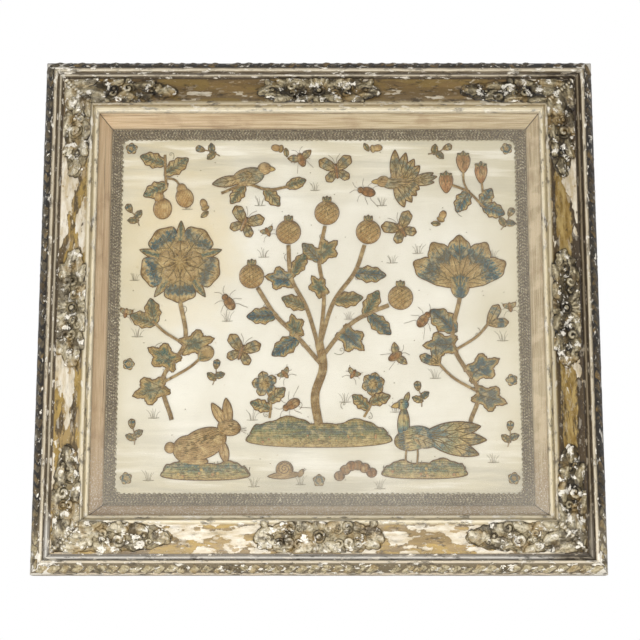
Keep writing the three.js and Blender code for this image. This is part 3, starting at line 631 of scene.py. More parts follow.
def silk(name, along=None, across=None, upward=None, stitch=1.5, speckle="5d4526"):
    material, tree, shader = new_finish(name, 0.55, Sheen_Weight=0.3, Sheen_Roughness=0.35, Specular_IOR_Level=0.3)
    at = put(tree, "ShaderNodeTexCoord", out="Object")
    lengthways, edgeways, _ = parts_of(tree, put(tree, "ShaderNodeUVMap", uv_map="lie"))
    threads = put(tree, "ShaderNodeUVMap", uv_map="stitches")
    wobble = between(tree, spots(tree, at, 3, 3), 0.3, 0.7, -0.07, 0.07)
    sideways = abs(edgeways - 0.5) * 2.0
    toothed = sums(tree, "PINGPONG", edgeways * 9.0, 0.5)
    shading = lengthways + wobble + toothed * 0.16
    if along:
        colour = stops(tree, shading, along)
    elif upward:
        blades = sums(tree, "PINGPONG", lengthways * 17.0, 0.5)
        colour = stops(tree, edgeways + wobble + blades * 0.14, upward)
    else:
        veined = sums(tree, "PINGPONG", (lengthways - sideways * 0.22) * 7.0, 0.5)
        reach = sideways + wobble + veined * 0.5
        colour = stops(tree, reach, across)
    ridges = put(tree, "ShaderNodeTexWave", {
        "Vector": threads, "Scale": 0.314 / stitch, "Distortion": 1.6, "Detail": 2.0, "Detail Scale": 1.5},
        out="Fac", wave_type="BANDS", bands_direction="Y")
    # Painted shade in the grooves between the stitch ridges
    colour = over(tree, between(tree, ridges, 0.0, 0.6, 0.30, 0.0), colour, "5a4628")
    age = put(tree, "ShaderNodeAttribute", out="Fac", attribute_name="age")
    colour = over(tree, between(tree, age, 0, 1, 0.0, 0.35), colour, "a08a60")
    grain = put(tree, "ShaderNodeTexVoronoi", {"Vector": threads, "Scale": 0.62}, out="Distance")
    colour = over(tree, between(tree, grain, 0.45, 0.80, 0.0, 0.45), colour, speckle)
    faded = spots(tree, at, 7, 4, 0.65, shift=(3, 5, 2))
    colour = over(tree, between(tree, faded, 0.50, 0.64, 0.0, 0.5), colour, "d2ba86")
    colour = over(tree, between(tree, faded, 0.44, 0.30, 0.0, 0.30), colour, "7a6238")
    lit(tree, shader, colour, ridges - grain, 0.8, 0.0006)
    return material


def thread(name, dark, light):
    material, tree, shader = new_finish(name, 0.55, Sheen_Weight=0.2, Specular_IOR_Level=0.3)
    at = put(tree, "ShaderNodeTexCoord", out="Object")
    twist = spots(tree, at, 1.2, 3, 0.6)
    lit(tree, shader, stops(tree, twist, [(0.3, dark), (0.7, light)]), twist, 0.4, 0.0003)
    return material


SILKS = {
    "petal": silk("petal_silk", along=[
        (0.0, "6a5433"), (0.16, "a08553"), (0.40, "bba06a"), (0.52, "a89466"), (0.60, "35626a"), (0.72, "1f4c57"),
        (0.80, "4f7a7c"), (0.87, "c9ae78"), (1.0, "9a7d4c")]),
    "inner": silk("inner_petal_silk", along=[
        (0.0, "5d4829"), (0.35, "a0834f"), (0.7, "c2a673"), (1.0, "9a7d4b")]),
    "leaf": silk("leaf_silk", across=[
        (0.0, "30564f"), (0.30, "4a6c62"), (0.48, "8f865a"), (0.64, "bb9f66"), (1.0, "a88b55")]),
    "bluegreen": silk("blue_leaf_silk", across=[
        (0.0, "214a55"), (0.42, "376571"), (0.62, "7a866c"), (0.76, "bca068"), (1.0, "a88b58")]),
    "fruit": silk("fruit_silk", along=[
        (0.0, "8f6a3b"), (0.3, "b08a52"), (0.6, "c4a26a"), (0.9, "a5814e"), (1.0, "8a673a")], speckle="7d5a32"),
    "berry": silk("berry_silk", along=[
        (0.0, "9a6c42"), (0.5, "b98a5c"), (1.0, "a0744a")], speckle="6f4a2c"),
    "centre": silk("knotted_centre", along=[
        (0.0, "6d5430"), (0.5, "b0935a"), (1.0, "7f653d")], speckle="4f3f28"),
    "mound": silk("mound_silk", upward=[
        (0.0, "8d7a4a"), (0.30, "b59c62"), (0.52, "a99a64"), (0.66, "76815c"), (0.80, "4b6663"), (0.92, "6f7d60"),
        (1.0, "a3935e")], stitch=1.8),
    "trunk": silk("trunk_silk", along=[
        (0.0, "7d6238"), (0.3, "a38554"), (0.6, "8a6d42"), (1.0, "a38554")], stitch=1.3),
    "fur": silk("fur_silk", along=[
        (0.0, "957748"), (0.4, "b8996a"), (0.8, "a98a5a"), (1.0, "957748")], stitch=1.4, speckle="7b6038"),
    "plume": silk("plume_silk", along=[
        (0.0, "3d5b60"), (0.35, "55797c"), (0.55, "8f9068"), (0.72, "bfa56c"), (0.84, "3d5b60"), (1.0, "a08d58")]),
    "wing": silk("wing_silk", along=[
        (0.0, "75592f"), (0.3, "a68953"), (0.55, "8a8463"), (0.68, "526e6c"), (0.80, "bfa671"), (1.0, "8a6b3c")]),
    "feather": silk("feather_silk", along=[
        (0.0, "8f7647"), (0.4, "b39868"), (0.7, "9a9070"), (1.0, "64786f")], stitch=1.4),
    "insect": silk("insect_silk", along=[
        (0.0, "5a3d22"), (0.3, "a06e3c"), (0.5, "6b4826"), (0.7, "ac7a45"), (1.0, "5a3d22")], stitch=1.4),
    "outline": thread("outline_thread", "453017", "78592f"),
    "vein": thread("vein_thread", "564724", "7f6b3c"),
    "gold": thread("gold_thread", "8e7340", "c9ad6c"),
    "grass": thread("grass_thread", "85604f", "6f7a58"),
}
SILK_ORDER = list(SILKS)


# The frame's rails: one section run along each side, cut to its mitres, then knocked and rubbed

def rail(side, finish):
    let_go()
    bpy.ops.mesh.primitive_circle_add(vertices=len(RAIL_SECTION), radius=1, fill_type="NGON")
    run = named(f"gilt_rail_{side['name']}")
    for vertex, (inward, high) in zip(run.data.vertices, RAIL_SECTION):
        vertex.co = (0, inward, high)
    bpy.ops.object.mode_set(mode="EDIT")
    bpy.ops.mesh.select_all(action="SELECT")
    bpy.ops.mesh.extrude_region_move(TRANSFORM_OT_translate={"value": (1, 0, 0)})
    cut_along(run, 0, int(side["length"] / RAIL_RING))
    places = points_of(run)
    half = side["length"] / 2 - places[:, 1] - MITRE_TRIM
    places[:, 0] = (places[:, 0] * 2 - 1) * half
    set_points(run, places)
    face_outwards(run)
    settle(run, side_matrix(side))
    worn(run, 0.5, 14, 1)
    worn(run, 0.35, 4, 2)
    smooth(run, 35)
    run.data.materials.append(finish)
    return hang(run, "gilt_rail", f"rail_{side['name']}")


def shaded(piece, values):
    """Writes each point's painted shade and highlight, from 0 in the hollows to 1 where it stands clear of them, as its
    lift.
    """
    if "lift" not in piece.data.attributes:
        piece.data.attributes.new("lift", "FLOAT", "POINT")
    piece.data.attributes["lift"].data.foreach_set("value", np.clip(values, 0, 1).astype(np.float32))
    return piece


def leaf_tip():
    """One carved leaf of the outer moulding: a ball flattened, pointed at its foot and creased down the middle."""
    let_go()
    bpy.ops.mesh.primitive_uv_sphere_add(segments=14, ring_count=9, radius=1, rotation=(math.pi / 2, 0, 0))
    tip = named("leaf_tip")
    settle(tip)
    places = points_of(tip)
    x, y, z = places.T
    width = 6.6 * (0.5 + 0.5 * np.clip(y + 1, 0, 1))
    places[:, 0] = x * width + 2.2 * np.sin(math.pi * y)
    places[:, 1] = y * 7.0
    crease = np.exp(-(x / 0.26) ** 2) * (z > 0)
    places[:, 2] = z * 2.1 - 1.2 * crease
    set_points(tip, places)
    # Painted shade at the rim and in the crease, painted highlight towards the top
    shaded(tip, 0.04 + 0.78 * np.clip(z, 0, 1) ** 0.7 - 0.35 * crease)
    return smooth(tip, 60)


OVOLO_START = (0.9, 20.4)
OVOLO_END = (10.8, 32.8)
TIP_PITCH = 11.4
TIPS_LOST = 0.06


def leaf_tips(side, tip, finish):
    slope = math.atan2(OVOLO_END[1] - OVOLO_START[1], OVOLO_END[0] - OVOLO_START[0])
    middle = [(a + b) / 2 for a, b in zip(OVOLO_START, OVOLO_END)]
    count = round((side["length"] - 10) / TIP_PITCH)
    chance = random.Random(side["name"])
    tips = []
    for index in range(count):
        along = (index - (count - 1) / 2) * (side["length"] - 14) / count
        if chance.random() < TIPS_LOST:
            continue
        lean = Matrix.Rotation(slope, 4, "X") @ Matrix.Rotation(math.radians(chance.uniform(-5, 5)), 4, "Z")
        size = Matrix.Diagonal((chance.uniform(0.9, 1.08), chance.uniform(0.9, 1.04), chance.uniform(0.7, 1.1), 1))
        place = Matrix.Translation((along, middle[0] - 0.4, middle[1] + 0.3))
        tips.append(copied(tip, side_matrix(side) @ place @ lean @ size))
    row = joined(tips, f"leaf_edge_{side['name']}")
    settle(row)
    row.data.materials.append(finish)
    return hang(row, "gilt_rail")


# Ornaments: worked flat as along, inward and lift, then laid down on the band's slope

def band_height(inward):
    return np.interp(inward, *zip(*BAND))


def carved_leaf(long, wide, rise, ribs=3):
    """A curling leaf with a lobed edge and raised ribs that springs from its own foot."""
    let_go()
    bpy.ops.mesh.primitive_grid_add(x_subdivisions=14, y_subdivisions=10, size=2)
    leaf = named("carved_leaf")
    places = points_of(leaf)
    t, s = np.clip((places[:, 0] + 1) / 2, 0, 1), np.clip(places[:, 1], -1, 1)
    edge = np.sin(np.pi * np.clip(t, 0.03, 0.985) ** 0.8) ** 0.5
    lobes = 1 - 0.20 * np.abs(np.sin(2.5 * np.pi * t)) ** 2
    places[:, 0] = t * long + 0.05 * long * np.abs(s) * edge
    places[:, 1] = s * wide / 2 * edge * lobes
    crown = (1 - np.abs(s) ** 3) * (0.45 + 0.55 * np.sin(np.pi * t ** 1.4))
    places[:, 2] = rise * (crown * (0.80 + 0.20 * np.cos(ribs * np.pi * s)) + 0.22 * t ** 3) - 0.3
    bend = (t - 0.3) ** 2 * long * 0.35
    places[:, 1] += bend
    set_points(leaf, places)
    # Painted shade along the rims, painted highlights on the ribs and towards the tip
    clear = np.clip(np.minimum(1 - np.abs(s), 2.0 * np.minimum(t + 0.1, 1 - t)) / 0.22, 0, 1)
    shaded(leaf, 0.03 + clear * (0.60 + 0.10 * np.cos(ribs * np.pi * s) + 0.12 * t))
    finished(leaf, "SOLIDIFY", thickness=0.7, offset=-1)
    return leaf


def scroll(size, rise, turns=1.35):
    """A curl that thickens towards its eye."""
    let_go()
    curve = bpy.data.curves.new("scroll", "CURVE")
    curve.dimensions = "3D"
    curve.bevel_depth = 1.0
    curve.bevel_resolution = 2
    curve.use_fill_caps = True
    spline = curve.splines.new("POLY")
    count = 26
    spline.points.add(count - 1)
    for index in range(count):
        share = index / (count - 1)
        angle = -2 * math.pi * turns * share
        reach = size * (1 - 0.82 * share)
        x = reach * math.cos(angle) - size
        y = reach * math.sin(angle)
        spline.points[index].co = (x, y, rise * (0.25 + 0.75 * share), 1)
        spline.points[index].radius = size * (0.15 + 0.20 * math.sin(math.pi * min(1, share * 0.9 + 0.1)))
    piece = bpy.data.objects.new("scroll", curve)
    bpy.context.scene.collection.objects.link(piece)
    take(piece)
    bpy.ops.object.convert(target="MESH")
    curl = named("scroll")
    # Painted shade low on the curl, painted highlight towards the top
    return shaded(curl, points_of(curl)[:, 2] / rise * 0.62 - 0.1)


def ring_flower(radius, rise):
    """A ball in a ring of beads."""
    parts = []
    let_go()
    bpy.ops.mesh.primitive_torus_add(major_radius=radius * 0.74, minor_radius=radius * 0.24, major_segments=20,
                                     minor_segments=8, location=(0, 0, rise * 0.35))
    parts.append(named("ring"))
    let_go()
    bpy.ops.mesh.primitive_uv_sphere_add(segments=14, ring_count=8, radius=radius * 0.42, location=(0, 0, rise * 0.6))
    ball = named("ball")
    bpy.ops.object.mode_set(mode="EDIT")
    bpy.ops.mesh.select_all(action="DESELECT")
    bpy.ops.object.mode_set(mode="OBJECT")
    top = max(v.co.z for v in ball.data.vertices)
    for vertex in ball.data.vertices:
        vertex.select = vertex.co.z > top - 0.02
    bpy.ops.object.mode_set(mode="EDIT")
    bpy.ops.transform.translate(value=(0, 0, -radius * 0.3))
    bpy.ops.object.mode_set(mode="OBJECT")
    parts.append(ball)
    flower = joined(parts, "ring_flower")
    places = points_of(flower)
    # Painted shade low down and in the groove, painted highlight on top
    out = np.hypot(places[:, 0], places[:, 1]) / radius
    groove = np.exp(-((out - 0.46) / 0.07) ** 2)
    return shaded(flower, 0.34 + 0.6 * (places[:, 2] - rise * 0.3) / (radius * 0.45) - 0.3 * groove)


# Shares of a half cartouche or of an arm, with the two edges of the plate there
CARTOUCHE_EDGES = [(0.0, 24.0, 47.0), (0.1, 21.6, 49.6), (0.35, 21.6, 49.2), (0.6, 22.4, 48.6), (0.82, 25.5, 46.0),
                   (0.94, 29.5, 40.5), (1.0, 34.0, 36.5)]
ARM_EDGES = [(0.0, 20.8, 50.0), (0.3, 21.0, 50.0), (0.5, 21.6, 49.4), (0.7, 22.2, 48.6), (0.85, 25.0, 46.0),
             (0.95, 29.5, 41.0), (1.0, 34.0, 36.5)]
# Along (share of the reach), inward, long, wide, turn (0 to the tip, 90 inward), rise
CARTOUCHE_LEAVES = [
    (0.10, 30.0, 24, 11, -26, 3.2), (0.10, 41.5, 22, 10, 24, 3.0), (0.02, 29.5, 11, 7, -82, 2.6),
    (0.05, 30.5, 13, 7, -52, 2.6), (0.03, 42.0, 9, 7, 72, 2.4), (0.42, 27.0, 21, 10, -6, 3.2),
    (0.44, 43.5, 20, 9, 6, 3.0), (0.74, 35.2, 17, 11, 0, 3.6), (0.62, 29.5, 20, 9, 4, 3.2), (0.63, 41.0, 18, 9,
    -6, 3.0),
]
CARTOUCHE_FLOWERS = [(0.0, 35.5, 6.6, 4.0), (0.78, 35.0, 5.4, 3.8)]
# Along, inward, size, turn, flip
CARTOUCHE_SCROLLS = [(0.55, 34.0, 6.0, 40, 1), (0.25, 27.0, 4.6, 200, 1), (0.24, 44.0, 4.4, 160, -1)]
ARM_LEAVES = [
    (0.20, 26.5, 30, 11, -2, 3.2), (0.27, 35.0, 28, 12, 4, 3.4), (0.34, 45.0, 26, 10, 6, 3.0),
    (0.45, 26.5, 22, 10, -8, 3.2), (0.54, 43.5, 22, 9, 8, 3.0), (0.66, 28.5, 22, 9, 0, 3.2),
    (0.68, 41.5, 20, 9, 2, 3.0), (0.84, 35.0, 19, 11, 0, 3.6), (0.60, 25.5, 9, 6, -70, 2.2),
    (0.62, 45.0, 9, 6, 70, 2.2), (0.44, 47.0, 10, 6, 40, 2.2),
]
ARM_FLOWERS = [(0.52, 33.0, 5.6, 4.0), (0.80, 36.5, 4.4, 3.6)]
# Small leaves and scrolls strewn over each half besides
SPARE_LEAVES = 3
SPARE_SCROLLS = 2
ARM_SCROLLS = [(0.66, 35.5, 6.4, 30, 1), (0.48, 40.5, 5.0, 160, -1), (0.86, 31.5, 3.8, 10, 1)]


def plateau(edges, reach, mitred):
    """The raised ground of an ornament, with a wavy edge that falls to the band."""
    let_go()
    bpy.ops.mesh.primitive_grid_add(x_subdivisions=60, y_subdivisions=16, size=2)
    ground = named("plateau")
    places = points_of(ground)
    t, s = np.clip((places[:, 0] + 1) / 2, 0, 1), np.clip(places[:, 1], -1, 1)
    shares, outer, inner = (np.array(column) for column in zip(*edges))
    wave = 0.8 * np.sin(t * reach / 3.1) + 0.5 * np.sin(t * reach / 1.7 + 1)
    low = np.interp(t, shares, outer) + wave * 0.8
    high = np.interp(t, shares, inner) - wave * 0.8
    inward = np.clip((low + high) / 2 + s * (high - low) / 2, *BAND_EDGES)
    start = inward if mitred else 0
    places[:, 0] = start + t * (reach - start)
    places[:, 1] = inward
    fall = (1 - np.abs(s) ** 7) * (1 - t ** 16)
    places[:, 2] = PLATE_LIFT * fall - 0.7 * (fall < 0.05)
    set_points(ground, places)
    # Painted shade along the edge where the ground falls to the band
    return shaded(ground, 0.46 * np.clip(np.minimum(1 - np.abs(s), 4 * (1 - t)) / 0.12, 0, 1) + 0.03)


def placed(piece, along, inward, turn, lift=PLATE_LIFT, flip=1):
    matrix = Matrix.Translation((along, inward, lift)) @ Matrix.Rotation(math.radians(turn), 4, "Z")
    return settle(piece, matrix @ Matrix.Diagonal((1, flip, 1, 1)))


def half_ornament(edges, leaves, flowers, scrolls, reach, mitred, seed):
    chance = random.Random(seed)
    parts = [plateau(edges, reach, mitred)]
    for share, inward, long, wide, turn, rise in leaves:
        scale = chance.uniform(0.92, 1.08)
        leaf = carved_leaf(long * scale, 1.45 * wide * scale, 1.15 * rise, chance.choice((1, 2, 2)))
        parts.append(placed(leaf, share * reach, inward, turn + chance.uniform(-5, 5), flip=chance.choice((1, -1))))
    shares, outer, inner = zip(*edges)
    for _ in range(SPARE_LEAVES):
        share = chance.uniform(0.28 if mitred else 0.06, 0.82)
        low, high = np.interp(share, shares, outer) + 4, np.interp(share, shares, inner) - 4
        leaf = carved_leaf(chance.uniform(11, 15), chance.uniform(9, 12), chance.uniform(2.8, 3.8), 1)
        parts.append(placed(leaf, share * reach, chance.uniform(low, high), chance.uniform(-75, 75),
                            flip=chance.choice((1, -1))))
    for _ in range(SPARE_SCROLLS):
        share = chance.uniform(0.35 if mitred else 0.15, 0.75)
        size = chance.uniform(4.2, 6.2)
        parts.append(placed(scroll(size, 3.2), share * reach, chance.uniform(29, 42), chance.uniform(0, 360),
                            flip=chance.choice((1, -1))))
    for share, inward, radius, rise in flowers:
        if share > 0:
            parts.append(placed(ring_flower(radius * chance.uniform(0.85, 1.05), rise), share * reach, inward, 0))
    for share, inward, size, turn, flip in scrolls:
        parts.append(placed(scroll(size, 2.2), share * reach, inward, turn, flip=flip))
    return joined(parts, "half_ornament")


def laid_on_band(piece, side, end):
    """Lays a piece on the band's slope and at its side."""
    places = points_of(piece)
    places[:, 1] = np.clip(places[:, 1], *ORNAMENT_SPAN)
    places[:, 2] += band_height(places[:, 1]) + 0.1
    set_points(piece, places)
    return settle(piece, side_matrix(side, end))


def mitre_rod():
    """A ribbed stalk on the mitre, like a bound bundle of reeds."""
    let_go()
    bpy.ops.mesh.primitive_cylinder_add(vertices=14, radius=2.5, depth=1)
    rod = named("mitre_rod")
    cut_along(rod, 2, 41)
    places = points_of(rod)
    share = places[:, 2] + 0.5
    swell = 1 + 0.16 * np.sin(share * 2 * math.pi * 10)
    inward = 22 + share * 27
    across, high = places[:, 0] * swell, places[:, 1] * swell
    diagonal = math.sqrt(0.5)
    places[:, 0] = inward - across * diagonal
    places[:, 1] = inward + across * diagonal
    places[:, 2] = high + PLATE_LIFT + 0.2
    set_points(rod, places)
    # Painted highlights on the top of the stalk and on its swellings
    shaded(rod, 0.1 + 0.28 * high + 0.9 * (swell - 1))
    return face_outwards(rod)


def mirrored(piece):
    twin = copied(piece, Matrix.Diagonal((-1, 1, 1, 1)))
    settle(twin)
    return face_outwards(twin)


def cartouche(side, finish):
    half = half_ornament(CARTOUCHE_EDGES, CARTOUCHE_LEAVES, CARTOUCHE_FLOWERS, CARTOUCHE_SCROLLS,
                         side["cartouche"] / 2, False, side["name"])
    middle = placed(ring_flower(CARTOUCHE_FLOWERS[0][2], CARTOUCHE_FLOWERS[0][3]), 0, CARTOUCHE_FLOWERS[0][1], 0)
    whole = joined([half, mirrored(half), middle], "whole")
    face_outwards(whole)
    laid_on_band(whole, side, 1)
    worn(whole, 0.45, 5, 3)
    smooth(whole, 50)
    whole.data.materials.append(finish)
    named(f"carved_cartouche_{side['name']}")
    return hang(whole, "gilt_ornament", f"cartouche_{side['name']}")


def corner(side, following, finish):
    arms = []
    for turned, end in ((side, 1), (following, -1)):
        arm = half_ornament(ARM_EDGES, ARM_LEAVES, ARM_FLOWERS, ARM_SCROLLS, turned["arm"], True,
                            side["name"] + following["name"] + str(end))
        if end > 0:
            arm = joined([arm, mitre_rod()], "arm")
        face_outwards(arm)
        places = points_of(arm)
        places[:, 0] = turned["length"] / 2 - places[:, 0]
        set_points(arm, places)
        arms.append(laid_on_band(arm, turned, end))
    whole = joined(arms, f"carved_corner_{side['name']}_{following['name']}")
    face_outwards(whole)
    worn(whole, 0.45, 5, 4)
    smooth(whole, 50)
    whole.data.materials.append(finish)
    return hang(whole, "gilt_ornament", f"corner_{side['name']}_{following['name']}")


# Satin and braid

def satin(finish):
    let_go()
    bpy.ops.mesh.primitive_grid_add(x_subdivisions=150, y_subdivisions=140, size=1)
    cloth = named("satin_cloth")
    places = points_of(cloth)
    x, y = places[:, 0] * SATIN_SIZE[0], places[:, 1] * SATIN_SIZE[1]
    pull = 0.09 * np.sin(y / 6.5 + 0.6 * np.sin(x / 70)) * np.exp(-((y - 150) / 26) ** 2)
    pull += 0.08 * np.sin(y / 5 + 0.8 * np.sin(x / 55)) * np.exp(-((y + 164) / 20) ** 2)
    pull += 0.05 * np.sin(x / 38) * np.sin(y / 52)
    set_points(cloth, np.stack([x, y, SATIN_FRONT + pull], 1))
    finished(cloth, "SOLIDIFY", thickness=SATIN_THICKNESS, offset=-1)
    smooth(cloth, 60)
    cloth.data.materials.append(finish)
    hang(cloth, "ivory_satin", "satin_ground")
    return cloth


def rounded_run(side, depth):
    """Half the straight run and the corner radius of the line that lies depth millimetres into the braid."""
    half = side["length"] / 2 - BRAID_OUTER - depth
    return half, 1.5 + 0.55 * depth


def braid_line(side, depth, pitch):
    """Points and headings along one side, from corner to corner, in even steps."""
    half, radius = rounded_run(side, depth)
    inward = BRAID_OUTER + depth
    arc = radius * math.pi / 4
    straight = 2 * (half - radius)
    total = straight + 2 * arc
    count = max(2, round(total / pitch))
    rows = []
    for index in range(count):
        run = (index + 0.5) * total / count
        if run < arc:
            angle = math.pi / 4 + run / radius
            x, y = -half + radius, inward + radius
            rows.append((x - radius * math.cos(angle), y - radius * math.sin(angle), angle - math.pi / 2))
        elif run < arc + straight:
            rows.append((-half + radius + run - arc, inward, 0.0))
        else:
            angle = math.pi / 2 - (run - arc - straight) / radius
            x, y = half - radius, inward + radius
            rows.append((x + radius * math.cos(angle), y - radius * math.sin(angle), math.pi / 2 - angle))
    return rows


def plait_stitch(long, wide, rise):
    """One float of metal thread."""
    let_go()
    bpy.ops.mesh.primitive_ico_sphere_add(subdivisions=1, radius=1)
    stitch = named("plait_stitch")
    places = points_of(stitch) * np.array([long / 2, wide / 2, rise])
    set_points(stitch, places)
    return stitch


BRAID_HEIGHT = 8.7
BRAID_THICKNESS = 0.8
BRAID_CORNER = 7.0
STITCH_LEAN = 30
STITCHES_LOST = 0.08
# Depth into the braid, pitch, long, wide, slant
PLAIT_ROWS = [
    (0.8, 2.8, 3.2, 1.4, 0), (3.2, 3.2, 4.0, 1.6, 38), (5.4, 3.6, 2.4, 2.2, 0), (7.6, 3.2, 4.0, 1.6, -38),
    (9.7, 3.0, 3.2, 1.5, 0),
]


def galloon(side, ground_finish, thread_finish):
    """A length of braid: a scalloped strip and the plait of metal thread on it."""
    let_go()
    half = side["length"] / 2 - BRAID_OUTER - MITRE_TRIM
    bpy.ops.mesh.primitive_grid_add(x_subdivisions=240, y_subdivisions=6, size=2)
    strip = named(f"galloon_{side['name']}")
    places = points_of(strip)
    depth = (places[:, 1] + 1) / 2 * BRAID_WIDTH
    near = np.abs(places[:, 0])
    run = places[:, 0] * (half - depth)
    corner_fill = np.clip(BRAID_CORNER - (half - BRAID_WIDTH - np.abs(run)), 0, BRAID_CORNER)
    rounding = BRAID_CORNER - np.sqrt(np.maximum(BRAID_CORNER ** 2 - corner_fill ** 2, 0))
    scallop = 0.45 * np.abs(np.sin(run * math.pi / 5.0)) * (near < 0.97)
    inner = places[:, 1] > 0.9
    depth = depth + np.where(inner, np.minimum(rounding, 2.0) + scallop - 0.3, 0)
    high = np.full(len(run), BRAID_HEIGHT)
    set_points(strip, np.stack([places[:, 0] * (half - depth), BRAID_OUTER + depth, high], 1))
    finished(strip, "SOLIDIFY", thickness=BRAID_THICKNESS, offset=-1)
    settle(strip, side_matrix(side))
    strip.data.materials.append(ground_finish)
    hang(strip, "metal_braid", f"braid_{side['name']}")

    stitches = []
    chance = random.Random(side["name"])
    for depth, pitch, long, wide, slant in PLAIT_ROWS:
        stitch = plait_stitch(long, wide, 0.55)
        for x, y, heading in braid_line(side, depth, pitch):
            turned = Matrix.Rotation(heading + math.radians(slant + chance.uniform(-STITCH_LEAN, STITCH_LEAN)), 4, "Z")
            if chance.random() < STITCHES_LOST:
                continue
            spot = (x + chance.uniform(-0.2, 0.2), y + chance.uniform(-0.2, 0.2), BRAID_HEIGHT + 0.15)
            size = (chance.uniform(0.7, 1.15), chance.uniform(0.7, 1.3), chance.uniform(0.5, 1.4), 1)
            stitches.append(copied(stitch, Matrix.Translation(spot) @ turned @ Matrix.Diagonal(size)))
        bpy.data.objects.remove(stitch)
    loop = plait_stitch(3.6, 2.2, 0.5)
    for x, y, heading in braid_line(side, 10.9, 5.0):
        turned = Matrix.Rotation(heading, 4, "Z")
        spot = (x, y + chance.uniform(-0.3, 0.3), BRAID_HEIGHT - 0.1)
        size = (chance.uniform(0.7, 1.2), chance.uniform(0.7, 1.2), 1, 1)
        stitches.append(copied(loop, Matrix.Translation(spot) @ turned @ Matrix.Diagonal(size)))
    bpy.data.objects.remove(loop)
    plait = joined(stitches, f"plait_{side['name']}")
    settle(plait, side_matrix(side))
    smooth(plait, 80)
    plait.data.materials.append(thread_finish)
    hang(plait, "metal_braid")
    2 * half / 1000


# Raised work

def outline_of(form, angle):
    along, across = np.cos(angle), np.sin(angle)
    if form in ("leaf", "lobed"):
        across = across * np.abs(np.sin(angle)) ** 0.7
        if form == "lobed":
            across = across * (1 - 0.24 * np.cos(3.5 * np.pi * (along + 1) / 2) ** 2)
    elif form in ("petal", "scalloped"):
        across = across * (0.74 + 0.26 * np.cos(angle))
        if form == "scalloped":
            swell = 1 + 0.045 * np.cos(7 * angle) * (np.cos(angle) > -0.2)
            along, across = along * swell, across * swell
    elif form == "vine":
        reach = 0.62 + 0.36 * (1 - np.abs(np.sin(2.5 * angle)) ** 1.5) ** 0.8 + 0.035 * np.cos(23 * angle)
        along, across = along * reach, across * reach
    elif form == "hill":
        along = np.sign(along) * np.abs(along) ** 0.8
        humps = 1 + 0.15 * np.sin(5 * angle + 0.5) + 0.06 * np.sin(13 * angle)
        across = across * np.where(np.sin(angle) < 0, 0.5, humps)
    return along, across


def crown(form, reach, along, across):
    """Height of the padding, as a share of its rise."""
    high = np.sqrt(np.clip(1 - reach ** 2.6, 0, 1))
    if form in ("leaf", "lobed", "vine"):
        high = high * (1 - 0.30 * np.exp(-(across / 0.13) ** 2) * (reach < 0.98))
    elif form in ("petal", "scalloped"):
        high = high * (0.72 + 0.28 * np.clip((along + 1) / 1.4, 0, 1)) * (1 - 0.10 * np.cos(across * 11) ** 2)
    return high


